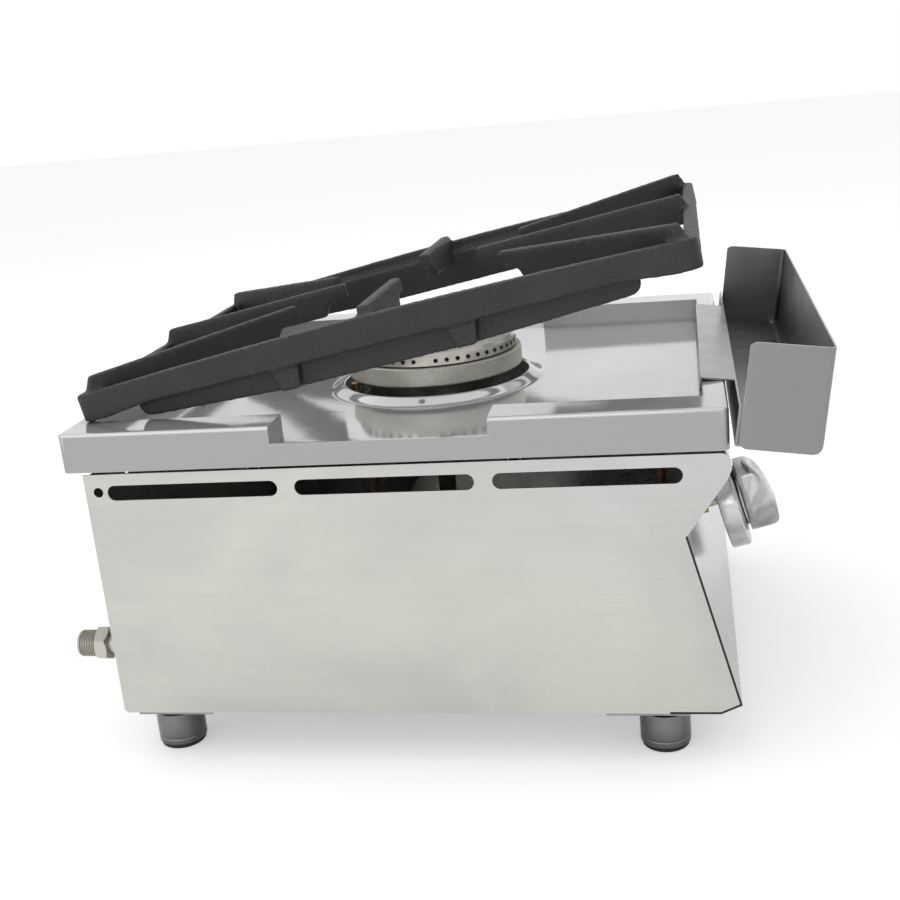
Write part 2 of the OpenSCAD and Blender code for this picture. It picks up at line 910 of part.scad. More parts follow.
// Outlet tube from the valve up to the jet
module valve_outlet() {
    placed() color([0.74, 0.47, 0.32]) tube_path([
        [0, cross_y, outlet_z],
        [0, cross_y, mixer_z],
        [0, mixer_front_y - jet_l, mixer_z]], 4);
}

// Clip in the spindle's groove: it is pressed in with the knob and lets the spindle turn
module spindle_clip() {
    clip_r = 6.5;
    placed() color([0.6, 0.6, 0.6]) along_knob() translate([0, 0, -clip_out - clip_t / 2])
        difference() {
            cylinder(h = clip_t, r = clip_r);
            translate([0, 0, -over])
                cylinder(h = clip_t + 2 * over, r = spindle_r - clip_groove + fit);
        }
}

// Spindle that turns with the knob and is pressed in with it
module valve_spindle() {
    tail = 8;
    end = knob_gap + knob_base_t - 2;
    groove_w = clip_t + 2 * fit;
    placed() color([0.7, 0.7, 0.7]) along_knob() difference() {
        translate([0, 0, -clip_out - tail]) cylinder(h = clip_out + tail + end, r = spindle_r);
        translate([spindle_r - flat_in, -spindle_r, knob_gap + 1]) cube([2 * flat_in, 2 * spindle_r, end]);
        translate([0, 0, -clip_out - groove_w / 2]) difference() {
            cylinder(h = groove_w, r = 2 * spindle_r);
            translate([0, 0, -over]) cylinder(h = groove_w + 2 * over, r = spindle_r - clip_groove);
        }
    }
}

// Wide base of the knob, hollow behind, with a hub on the spindle
module knob_base() {
    skirt = 3;
    back = 6;
    hub_in = 10;
    hub_out = 13;
    placed() color([0.87, 0.87, 0.87]) along_knob() translate([0, 0, knob_gap]) difference() {
        rotate_extrude() polygon([
            [0, 4],
            [hub_in, 4],
            [hub_in, 0],
            [hub_out, 0],
            [hub_out, back],
            [knob_r - skirt, back],
            [knob_r - skirt, 0],
            [knob_r - 1, 0],
            [knob_r, 1],
            [knob_r, knob_base_t - knob_cone - 2],
            [knob_r - 2, knob_base_t - knob_cone],
            [collar_knob_r + 2, knob_base_t],
            [0, knob_base_t]]);
        difference() {
            translate([0, 0, -over]) cylinder(h = knob_base_t - 2 + over, r = spindle_r + fit);
            translate([spindle_r - flat_in + fit, -spindle_r, -spindle_r])
                cube([2 * spindle_r, 2 * spindle_r, 2 * knob_base_t]);
        }
    }
}

// Flange between the base and the grip
module knob_collar() {
    ease = 1;
    placed() color([0.88, 0.88, 0.88]) along_knob() translate([0, 0, knob_gap + knob_base_t])
        rotate_extrude() polygon([
            [0, 0],
            [collar_knob_r - ease, 0],
            [collar_knob_r, ease],
            [collar_knob_r, collar_t - ease],
            [collar_knob_r - ease, collar_t],
            [0, collar_t]]);
}

// Grip with a bowed face: it stands out furthest below its middle
module knob_grip() {
    foot = knob_gap + knob_base_t + collar_t;
    bow_r = 85;
    bow_low = 15.4;
    corner = 12;
    edge = 16;
    placed() color([0.9, 0.9, 0.9]) along_knob() translate([0, 0, foot]) intersection() {
        cylinder(h = grip_l + 1, r = grip_r);
        along_x(-grip_w / 2, grip_w) intersection() {
            round_rect(2 * grip_r, 2 * grip_l, corner);
            translate([-bow_low, grip_l - bow_r]) circle(bow_r);
        }
        linear_extrude(grip_l + 1) round_rect(grip_w, 2 * grip_r, edge);
    }
}

// Plan of the grate frame, back edge at the origin, forward along -Y
module grate_plan() {
    translate([0, -grate_d / 2]) difference() {
        round_rect(grate_w, grate_d, grate_t - 2);
        square([grate_w - 2 * grate_t, grate_d - 2 * grate_t], center = true);
    }
}

// Side view of the frame: its top rises and its underside arches between the corners
module frame_side() {
    steps = 12;
    foot_l = 26;
    arch_in = 70;
    bow = rail_mid_h - rail_end_h;
    polygon(concat(
        [[0, 0], [0, rail_end_h]],
        [for (i = [1 : steps - 1]) [-grate_d * i / steps, rail_end_h + bow * sin(180 * i / steps)]],
        [[-grate_d, rail_end_h], [-grate_d, 0], [foot_l - grate_d, 0],
            [arch_in - grate_d, rail_arch], [-arch_in, rail_arch], [-foot_l, 0]]));
}

// Front view of the frame: relieved between its corners so that it clears the trough's hook
module frame_front() {
    foot_w = 18;
    relief_in = 34;
    w = grate_w / 2;
    polygon([
        [-w, 0],
        [-w, rail_mid_h],
        [w, rail_mid_h],
        [w, 0],
        [w - foot_w, 0],
        [w - relief_in, bar_relief],
        [relief_in - w, bar_relief],
        [foot_w - w, 0]]);
}

module grate_frame() {
    intersection() {
        linear_extrude(rail_mid_h + 1) grate_plan();
        along_x(-grate_w / 2, grate_w) frame_side();
        along_y(-grate_d, grate_d) frame_front();
    }
}

// Lower rib under each side, inside the well, with round ends and a web out to the frame
module grate_rib(side) {
    r = rib_end_h;
    rib_top = 20;
    flat_from = 0.35;
    flat_to = 0.62;
    web_in = 70;
    web_h = 12;
    back = -rib_end - r;
    front = rib_end + r - grate_d;
    x0 = grate_w / 2 - rib_in - rib_t;
    x1 = grate_w / 2 - 2;
    along_x(side > 0 ? x0 : -x0 - rib_t, rib_t) {
        polygon([
            [back, rib_top],
            [back, -r],
            [-grate_d * flat_from, -rib_drop],
            [-grate_d * flat_to, -rib_drop],
            [front, -r],
            [front, rib_top]]);
        translate([back, 0]) circle(r);
        translate([front, 0]) circle(r);
        translate([rib_end - grate_d, 0]) square([grate_d - 2 * rib_end, rib_top]);
    }
    translate([side > 0 ? x0 + rib_t / 2 : -x1, web_in - grate_d, rail_arch + 3])
        cube([x1 - x0 - rib_t / 2, grate_d - 2 * web_in, web_h]);
}

// Lug that drops into the notch of the side rail
module grate_lug(side, a) {
    root_h = 12;
    taper = 4;
    half = lug_w / 2;
    tip_z = 1 - rib_drop;
    x0 = grate_w / 2 - rib_in - 1;
    along_x(side > 0 ? x0 : -x0 - lug_reach, lug_reach) polygon([
        [half - a, root_h],
        [half - a, 0],
        [half - a - taper, tip_z],
        [taper - half - a, tip_z],
        [-half - a, 0],
        [-half - a, root_h]]);
}

// Finger: an upright web of length run from the frame towards the middle
module finger(run) {
    rise = 8;
    undercut = 20;
    nose = 8;
    steps = 6;
    under = crest_h - tip_h;
    rotate([90, 0, 0]) translate([0, 0, -finger_t / 2]) linear_extrude(finger_t) polygon(concat(
        [[0, finger_low], [0, rail_end_h - 2], [rise, crest_h], [run, crest_h], [run, under]],
        [for (i = [0 : steps]) [run - nose - undercut * sin(90 * i / steps),
            under - (under - finger_low) * (1 - cos(90 * i / steps))]]));
}

// Four long fingers to the middle of the burner and four shorter ones from the corners
module grate_fingers() {
    bite = 4;
    corner_in = 9;
    centre_y = -grate_d / 2;
    side_run = grate_w / 2 - bite;
    depth_run = grate_d / 2 - bite;
    corner_x = grate_w / 2 - corner_in;
    corner_y = grate_d / 2 - corner_in;
    off = -grate_mid - centre_y;
    for (s = [-1, 1]) {
        translate([s * side_run, centre_y + off, 0])
            rotate([0, 0, s > 0 ? 180 : 0]) finger(side_run - centre_tip_r);
        translate([0, centre_y + s * depth_run, 0])
            rotate([0, 0, -s * 90]) finger(depth_run - s * off - centre_tip_r);
        for (t = [-1, 1])
            translate([s * corner_x, centre_y + t * corner_y, 0])
                rotate([0, 0, atan2(-t * corner_y, -s * corner_x)])
                    finger(norm([corner_x, corner_y]) - corner_tip_r);
    }
}

module grate() {
    placed() color([0.2, 0.2, 0.2])
        translate([0, pivot_y, pivot_z]) rotate([-grate_tip, 0, 0]) {
            grate_frame();
            for (s = [-1, 1]) {
                grate_rib(s);
                for (a = [-1, 1]) grate_lug(s, grate_mid + a * lug_off);
            }
            grate_fingers();
        }
}

// Frame of the trough: origin at the inner top edge of its hook plate
module trough_frame() {
    translate([0, trough_y, trough_z]) rotate([trough_tip, 0, 0]) children();
}

// Front wall and two ends, folded from one sheet
module trough_shell() {
    mid = -hook_run - trough_d / 2;
    tall = trough_up + trough_down;
    placed() color([0.66, 0.66, 0.66]) trough_frame() intersection() {
        translate([0, 0, -trough_down]) linear_extrude(tall) difference() {
            translate([0, mid]) round_rect(body_w, trough_d, trough_r);
            translate([0, mid])
                round_rect(body_w - 2 * sheet, trough_d - 2 * sheet, trough_r - sheet);
            translate([sheet - half_w, trough_r - trough_far]) square([body_w - 2 * sheet, wide]);
        }
        along_x(-half_w, body_w) {
            translate([mid, (trough_up - trough_down) / 2]) round_rect(trough_d, tall, wing_r);
            translate([-trough_far, 0]) square([wing_r, trough_up]);
        }
    }
}

// Floor, back wall, hook plate and hook lip, folded from one sheet
module trough_floor() {
    width = body_w - 2 * (sheet + slack);
    front = wing_r - trough_far;
    placed() color([0.6, 0.6, 0.6]) trough_frame() {
        along_x(-width / 2, width) {
            translate([front, sheet - trough_down]) square([-hook_run - front, sheet]);
            translate([-hook_run, sheet - trough_down]) square([sheet, trough_down - sheet]);
        }
        along_x(trough_r - width / 2, width - 2 * trough_r)
            translate([front, wing_r - trough_down]) difference() {
                circle(wing_r - sheet);
                circle(wing_r - 2 * sheet);
                translate([0, -wing_r]) square(2 * wing_r);
                translate([-wing_r, 0]) square(2 * wing_r);
            }
        translate([-hook_w / 2, -hook_run, -sheet]) cube([hook_w, hook_run, sheet]);
        translate([-hook_w / 2, -sheet, -hook_drop]) cube([hook_w, sheet, hook_drop - sheet + hair]);
    }
}

// Threaded studs and their nuts, fixed in the bottom sheet
module foot_studs() {
    stud_out = 8;
    placed() color([0.7, 0.7, 0.7]) foot_places() {
        translate([0, 0, stud_low]) cylinder(h = floor_z + sheet + stud_out - stud_low, r = stud_r);
        for (z = [floor_z + sheet, floor_z - plate_t - stud_nut_h])
            translate([0, 0, z]) cylinder(h = stud_nut_h, r = stud_nut_r, $fn = hex);
    }
}

// Stainless sleeve that turns on its stud, open at the top
module foot_sleeve(x, y) {
    ease = 1;
    wall = 2.5;
    placed() color([0.76, 0.76, 0.75]) translate([x, y, 0]) difference() {
        union() {
            translate([0, 0, pad_t]) cylinder(h = sleeve_top - pad_t - ease, r = foot_r);
            translate([0, 0, sleeve_top - ease - hair])
                cylinder(h = ease, r1 = foot_r, r2 = foot_r - ease);
        }
        translate([0, 0, sleeve_top - cup_depth]) cylinder(h = 2 * cup_depth, r = foot_r - wall);
        translate([0, 0, stud_low - 4]) cylinder(h = foot_h, r = stud_r + fit);
    }
}

// Rubber pad under a foot
module foot_pad(x, y) {
    inset = 1.5;
    placed() color([0.12, 0.12, 0.12]) translate([x, y, 0]) rotate_extrude() polygon([
        [0, 0],
        [foot_r - inset - 1, 0],
        [foot_r - inset, 1],
        [foot_r - inset, pad_t],
        [0, pad_t]]);
}

module foot_front_left() {
    foot_sleeve(-foot_x, foot_front_y);
}

module foot_front_right() {
    foot_sleeve(foot_x, foot_front_y);
}

module foot_back_left() {
    foot_sleeve(-foot_x, foot_back_y);
}

module foot_back_right() {
    foot_sleeve(foot_x, foot_back_y);
}

module pad_front_left() {
    foot_pad(-foot_x, foot_front_y);
}

module pad_front_right() {
    foot_pad(foot_x, foot_front_y);
}

module pad_back_left() {
    foot_pad(-foot_x, foot_back_y);
}

module pad_back_right() {
    foot_pad(foot_x, foot_back_y);
}

worktop();
bearers();
side_left();
side_right();
front_panel();
back_panel();
bottom_panel();
foot_plates();
burner_bracket();
mixer_post();
burner_base();
burner_crown();
venturi();
air_shutter();
injector();
pilot_holder();
pilot();
pilot_tube();
thermocouple();
thermocouple_tube();
supply_pipe();
inlet_nipple();
inlet_nut();
valve_body();
valve_outlet();
spindle_clip();
valve_spindle();
knob_base();
knob_collar();
knob_grip();
grate();
trough_shell();
trough_floor();
foot_studs();
foot_front_left();
foot_front_right();
foot_back_left();
foot_back_right();
pad_front_left();
pad_front_right();
pad_back_left();
pad_back_right();
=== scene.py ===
"""Looks of the countertop gas burner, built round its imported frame.

Every length is in metres, in the frame of the CAD model. The classes below are the sub-assemblies of the
burner: each one builds its meshes round the CAD nodes, gives them their finishes and sets them on their
bodies.
"""

from __future__ import annotations

import logging
import math
from dataclasses import dataclass
from enum import Enum
from typing import Callable, Iterable, Sequence

import bmesh
import bpy
from mathutils import Matrix, Vector, noise


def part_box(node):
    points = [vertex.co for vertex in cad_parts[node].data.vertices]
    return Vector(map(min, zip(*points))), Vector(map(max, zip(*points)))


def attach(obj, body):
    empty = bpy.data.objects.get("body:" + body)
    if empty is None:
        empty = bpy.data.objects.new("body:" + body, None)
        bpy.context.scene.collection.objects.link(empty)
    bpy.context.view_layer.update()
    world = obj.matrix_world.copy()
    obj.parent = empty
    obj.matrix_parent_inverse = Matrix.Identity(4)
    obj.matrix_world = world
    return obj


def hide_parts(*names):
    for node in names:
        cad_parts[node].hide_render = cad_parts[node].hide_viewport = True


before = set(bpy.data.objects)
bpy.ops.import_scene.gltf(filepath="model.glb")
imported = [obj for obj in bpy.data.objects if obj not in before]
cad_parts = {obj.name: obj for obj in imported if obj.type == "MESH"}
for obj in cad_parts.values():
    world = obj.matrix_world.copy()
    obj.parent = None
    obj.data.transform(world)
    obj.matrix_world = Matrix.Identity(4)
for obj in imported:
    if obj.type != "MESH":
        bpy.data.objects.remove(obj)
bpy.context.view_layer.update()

LOG = logging.getLogger("burner")
MM = 0.001
MERGE = 0.02 * MM
NEAR = 0.05 * MM
LEVEL = 0.1 * MM

Colour = tuple[float, float, float]
Point = tuple[float, float]


class Grain(Enum):
    """Direction in which a sheet or bar was brushed."""

    ALONG_X = (22.0, 1900.0, 1900.0)
    ALONG_Y = (1900.0, 22.0, 1900.0)
    ALONG_Z = (1900.0, 1900.0, 22.0)
    NONE = (240.0, 240.0, 240.0)


class Graph:
    """Adds and links nodes in one node tree."""

    def __init__(self, tree: bpy.types.NodeTree) -> None:
        """Keeps the tree.

        Args:
            tree: the tree that the nodes go into.
        """
        self.tree = tree

    def add(self, kind: str, **settings: object) -> bpy.types.Node:
        """Adds one node.

        Args:
            kind: the node's type name.
            settings: attributes of the node, set before its sockets are used.

        Returns:
            The new node.
        """
        node = self.tree.nodes.new(kind)
        for key, value in settings.items():
            setattr(node, key, value)
        return node

    def feed(self, node: bpy.types.Node, **inputs: object) -> bpy.types.Node:
        """Sets or links a node's inputs.

        Args:
            node: the node to feed.
            inputs: socket names with underscores for blanks, or i0, i1 for a place in the list. A socket is
                linked, and any other value is set.

        Returns:
            The same node.
        """
        for key, value in inputs.items():
            socket = node.inputs[int(key[1:])] if key[0] == "i" and key[1:].isdigit() else node.inputs[
                key.replace("_", " ")]
            if isinstance(value, bpy.types.NodeSocket):
                self.tree.links.new(value, socket)
            else:
                socket.default_value = value
        return node

    def math(self, operation: str, first: object, second: object = 0.0, clamp: bool = False
             ) -> bpy.types.NodeSocket:
        """Adds a Math node.

        Args:
            operation: the node's operation.
            first: a number or a socket.
            second: a number or a socket.
            clamp: True to keep the result between 0 and 1.

        Returns:
            The result socket.
        """
        node = self.add("ShaderNodeMath", operation=operation, use_clamp=clamp)
        return self.feed(node, i0=first, i1=second).outputs[0]

    def ramp(self, value: object, low: float, high: float, out_low: float = 0.0, out_high: float = 1.0
             ) -> bpy.types.NodeSocket:
        """Maps a value smoothly from one range to another.

        Args:
            value: the value's socket.
            low: lower end of the range that counts.
            high: upper end of the range that counts.
            out_low: result at the lower end.
            out_high: result at the upper end.

        Returns:
            The result socket.
        """
        node = self.add("ShaderNodeMapRange", interpolation_type="SMOOTHSTEP")
        self.feed(node, Value=value, From_Min=low, From_Max=high, To_Min=out_low, To_Max=out_high)
        return node.outputs[0]

    def mix(self, factor: object, first: object, second: object) -> bpy.types.NodeSocket:
        """Mixes two colours.

        Args:
            factor: share of the second colour.
            first: colour or socket.
            second: colour or socket.

        Returns:
            The mixed colour's socket.
        """
        node = self.add("ShaderNodeMix", data_type="RGBA", clamp_factor=True)
        for place, value in ((0, factor), (6, first), (7, second)):
            socket = node.inputs[place]
            if isinstance(value, bpy.types.NodeSocket):
                self.tree.links.new(value, socket)
            else:
                socket.default_value = (*value, 1.0) if isinstance(value, tuple) else value
        return node.outputs[2]

    def bump(self, height: bpy.types.NodeSocket, depth: float,
             normal: bpy.types.NodeSocket | None = None) -> bpy.types.NodeSocket:
        """Adds a Bump node.

        Args:
            height: height socket, from 0 to 1.
            depth: height in metres that 1 stands for.
            normal: normal that the bump is added to.

        Returns:
            The normal socket.
        """
        node = self.feed(self.add("ShaderNodeBump"), Height=height, Distance=depth, Strength=1.0)
        if normal is not None:
            self.feed(node, Normal=normal)
        return node.outputs["Normal"]


class Effects:
    """Shader node groups that more than one finish uses. Each is built once."""

    def __init__(self) -> None:
        """Builds every group."""
        self.groups: dict[str, bpy.types.NodeTree] = {}
        self._cloud()
        self._grain()
        self._wear()
        self._crevice_shade()
        self._skin()
        self._facing()

    def _start(self, name: str, inputs: Sequence[tuple[str, str, object]],
               outputs: Sequence[str]) -> tuple[Graph, bpy.types.Node, bpy.types.Node]:
        """Makes an empty group with its sockets.

        Args:
            name: the group's name.
            inputs: name, socket kind and default of each input.
            outputs: names of the float outputs.

        Returns:
            The graph, the group's input node and its output node.
        """
        tree = bpy.data.node_groups.new(name, "ShaderNodeTree")
        for label, kind, default in inputs:
            socket = tree.interface.new_socket(label, in_out="INPUT", socket_type=kind)
            socket.default_value = default
        for label in outputs:
            tree.interface.new_socket(label, in_out="OUTPUT", socket_type="NodeSocketFloat")
        graph = Graph(tree)
        self.groups[name] = tree
        return graph, graph.add("NodeGroupInput"), graph.add("NodeGroupOutput")

    def _cloud(self) -> None:
        """Soft clouds of tone over a whole piece."""
        graph, given, result = self._start(
            "cloud_tone", [("Scale", "NodeSocketFloat", 6.0), ("Warp", "NodeSocketFloat", 0.4)], ["Mask"])
        place = graph.add("ShaderNodeTexCoord").outputs["Object"]
        cloud = graph.add("ShaderNodeTexNoise")
        graph.feed(cloud, Vector=place, Scale=given.outputs["Scale"], Detail=4.0, Roughness=0.55,
                   Distortion=given.outputs["Warp"])
        graph.feed(result, Mask=graph.ramp(cloud.outputs["Fac"], 0.3, 0.7))

    def _grain(self) -> None:
        """Fine streaks of a brushed sheet."""
        graph, given, result = self._start(
            "brush_grain", [("Stretch", "NodeSocketVector", (22.0, 1900.0, 1900.0))], ["Tone", "Height"])
        place = graph.add("ShaderNodeTexCoord").outputs["Object"]
        stretched = graph.add("ShaderNodeVectorMath", operation="MULTIPLY")
        graph.feed(stretched, i0=place, i1=given.outputs["Stretch"])
        fine = graph.feed(graph.add("ShaderNodeTexNoise"), Vector=stretched.outputs[0], Scale=1.0, Detail=2.0)
        broad = graph.feed(graph.add("ShaderNodeTexNoise"), Vector=stretched.outputs[0], Scale=0.13,
                           Detail=3.0)
        both = graph.math("ADD", graph.math("MULTIPLY", fine.outputs["Fac"], 0.5),
                          graph.math("MULTIPLY", broad.outputs["Fac"], 0.5))
        graph.feed(result, Tone=graph.ramp(both, 0.35, 0.65), Height=both)

    def _wear(self) -> None:
        """Mask of outer edges, broken up by noise."""
        graph, given, result = self._start(
            "edge_wear", [("Radius", "NodeSocketFloat", 0.001), ("Gain", "NodeSocketFloat", 4.0)], ["Mask"])
        soft = graph.add("ShaderNodeBevel", samples=4)
        graph.feed(soft, Radius=given.outputs["Radius"])
        true = graph.add("ShaderNodeNewGeometry")
        dot = graph.add("ShaderNodeVectorMath", operation="DOT_PRODUCT")
        graph.feed(dot, i0=soft.outputs["Normal"], i1=true.outputs["Normal"])
        turned = graph.math("SUBTRACT", 1.0, dot.outputs["Value"])
        place = graph.add("ShaderNodeTexCoord").outputs["Object"]
        broken = graph.feed(graph.add("ShaderNodeTexNoise"), Vector=place, Scale=180.0, Detail=3.0)
        share = graph.ramp(broken.outputs["Fac"], 0.3, 0.6, 0.35, 1.0)
        scaled = graph.math("MULTIPLY", turned, given.outputs["Gain"], clamp=True)
        graph.feed(result, Mask=graph.math("MULTIPLY", scaled, share))

    def _crevice_shade(self) -> None:
        """Mask of corners and gaps, from ambient occlusion: where dirt gathers and where shade is painted."""
        graph, given, result = self._start(
            "crevice_shade", [("Reach", "NodeSocketFloat", 0.012)], ["Mask"])
        shade = graph.add("ShaderNodeAmbientOcclusion", samples=6)
        graph.feed(shade, Distance=given.outputs["Reach"])
        graph.feed(result, Mask=graph.ramp(shade.outputs["AO"], 0.95, 0.35))

    def _skin(self) -> None:
        """Rough skin of a sand casting."""
        graph, given, result = self._start(
            "cast_skin", [("Scale", "NodeSocketFloat", 500.0)], ["Tone", "Height"])
        place = graph.add("ShaderNodeTexCoord").outputs["Object"]
        sand = graph.feed(graph.add("ShaderNodeTexNoise"), Vector=place, Scale=given.outputs["Scale"],
                          Detail=5.0, Roughness=0.6)
        pits = graph.add("ShaderNodeTexVoronoi", feature="SMOOTH_F1")
        graph.feed(pits, Vector=place, Scale=graph.math("MULTIPLY", given.outputs["Scale"], 0.6))
        height = graph.math("ADD", graph.math("MULTIPLY", sand.outputs["Fac"], 0.6),
                            graph.math("MULTIPLY", pits.outputs["Distance"], 0.5))
        graph.feed(result, Tone=graph.ramp(sand.outputs["Fac"], 0.35, 0.65), Height=height)

    def _facing(self) -> None:
        """Masks of upright faces and of faces that look up, used to paint shade on upright faces and light on
        faces that look up.
        """
        graph, _, result = self._start("facing", [], ["Upright", "Up"])
        true = graph.add("ShaderNodeNewGeometry")
        parts = graph.feed(graph.add("ShaderNodeSeparateXYZ"), Vector=true.outputs["Normal"])
        graph.feed(result, Upright=graph.ramp(graph.math("ABSOLUTE", parts.outputs["Z"]), 0.55, 0.1),
                   Up=graph.ramp(parts.outputs["Z"], 0.45, 0.9))

    def place(self, graph: Graph, name: str, **inputs: object) -> bpy.types.Node:
        """Sets a group in a material.

        Args:
            graph: the material's graph.
            name: the group's name.
            inputs: values or sockets for its inputs.

        Returns:
            The group node.
        """
        node = graph.add("ShaderNodeGroup", node_tree=self.groups[name])
        return graph.feed(node, **inputs)


EFFECTS = Effects()


def new_material(name: str, metallic: float, settings: dict[str, float] | None = None
                 ) -> tuple[bpy.types.Material, Graph, bpy.types.Node]:
    """Makes a material with one Principled shader.

    Args:
        name: the material's name.
        metallic: its constant Metallic value.
        settings: other constant values of the shader.

    Returns:
        The material, its graph and its shader.
    """
    material = bpy.data.materials.new(name)
    material.use_nodes = True
    material.node_tree.nodes.clear()
    graph = Graph(material.node_tree)
    shader = graph.add("ShaderNodeBsdfPrincipled")
    graph.feed(shader, Metallic=metallic)
    for key, value in (settings or {}).items():
        shader.inputs[key].default_value = value
    output = graph.add("ShaderNodeOutputMaterial")
    graph.feed(output, Surface=shader.outputs["BSDF"])
    return material, graph, shader


@dataclass(frozen=True)
class SheetSteel:
    """Stainless sheet or rod, brushed or bright."""

    name: str
    colour: Colour
    shade: Colour
    roughness: float
    rough_spread: float = 0.06
    grain: Grain = Grain.ALONG_X
    grain_tone: float = 0.12
    grain_depth: float = 0.02 * MM
    cloud: float = 6.0
    waves: float = 0.0
    # upright: colour of upright faces, a painted shade that darkens them against level faces.
    upright: Colour | None = None
    upright_roughness: float = 0.3
    edge: Colour = (0.85, 0.85, 0.84)
    # Darkening in corners and gaps: dirt together with painted shade.
    dirt_and_shade: float = 0.35
    # Colour of a painted reflection: the cream of a table surface, seen on a side panel.
    cream_reflection: Colour | None = None
    # Painted shade deep inside a tray, inside the body or under it, where little light reaches.
    deep_shade: Colour | None = None
    deep_shade_reach: float = 60.0 * MM
    metallic: float = 1.0
    cloud_warp: float = 0.6
    fine_clouds: float = 5.0
    fine_warp: float = 0.3
    grain_shade: float = 0.72
    dirt_and_shade_reach: float = 8.0 * MM
    dirt_and_shade_colour: Colour = (0.12, 0.11, 0.1)
    wear_radius: float = 0.6 * MM
    wear_gain: float = 3.0
    wave_scale: float = 3.5
    wave_warp: float = 0.2
    reflection_lean: float = 0.35
    reflection_from: float = 0.34
    reflection_full: float = 0.2

    def _cream_reflection_mask(self, graph: Graph) -> bpy.types.NodeSocket:
        """Mask of the painted cream reflection on a side panel: all but its upper front corner.

        Args:
            graph: the material's graph.

        Returns:
            The mask's socket.
        """
        place = graph.feed(graph.add("ShaderNodeSeparateXYZ"),
                           Vector=graph.add("ShaderNodeTexCoord").outputs["Object"])
        lean = graph.math("MULTIPLY", place.outputs["Y"], self.reflection_lean)
        slope = graph.math("SUBTRACT", place.outputs["Z"], lean)
        return graph.ramp(slope, self.reflection_from, self.reflection_full)

    def make(self) -> bpy.types.Material:
        """Builds the material."""
        material, graph, shader = new_material(self.name, self.metallic)
        cloud = EFFECTS.place(graph, "cloud_tone", Scale=self.cloud, Warp=self.cloud_warp).outputs["Mask"]
        grain = EFFECTS.place(graph, "brush_grain", Stretch=self.grain.value)
        fine_cloud = EFFECTS.place(graph, "cloud_tone", Scale=self.cloud * self.fine_clouds,
                                   Warp=self.fine_warp).outputs["Mask"]
        colour = self.colour
        # Painted reflection: cream over all of a side panel but its upper front corner.
        if self.cream_reflection is not None:
            colour = graph.mix(self._cream_reflection_mask(graph), self.colour, self.cream_reflection)
        colour = graph.mix(cloud, colour, self.shade)
        rough = graph.ramp(fine_cloud, 0.0, 1.0, self.roughness, self.roughness + self.rough_spread)
        # Painted shade: upright faces take a darker colour because of the way they are turned.
        if self.upright is not None:
            mask = EFFECTS.place(graph, "facing").outputs["Upright"]
            colour = graph.mix(mask, colour, self.upright)
            rough = graph.math("ADD", rough, graph.math("MULTIPLY", mask, self.upright_roughness))
        # Painted shade: darker where the AO mask finds the part deep inside or under other parts.
        if self.deep_shade is not None:
            inside = EFFECTS.place(graph, "crevice_shade", Reach=self.deep_shade_reach).outputs["Mask"]
            colour = graph.mix(inside, colour, self.deep_shade)
        dark = tuple(c * self.grain_shade for c in self.shade)
        colour = graph.mix(graph.math("MULTIPLY", grain.outputs["Tone"], self.grain_tone), colour, dark)
        # Darker in corners and gaps, by an AO mask: dirt together with painted shade.
        dirt_and_shade = EFFECTS.place(graph, "crevice_shade", Reach=self.dirt_and_shade_reach).outputs["Mask"]
        colour = graph.mix(graph.math("MULTIPLY", dirt_and_shade, self.dirt_and_shade), colour, self.dirt_and_shade_colour)
        wear = EFFECTS.place(graph, "edge_wear", Radius=self.wear_radius, Gain=self.wear_gain).outputs["Mask"]
        colour = graph.mix(wear, colour, self.edge)
        normal = graph.bump(grain.outputs["Height"], self.grain_depth)
        if self.waves:
            slow = EFFECTS.place(graph, "cloud_tone", Scale=self.wave_scale,
                                 Warp=self.wave_warp).outputs["Mask"]
            normal = graph.bump(slow, self.waves, normal=normal)
        graph.feed(shader, Base_Color=colour, Roughness=rough, Normal=normal)
        return material


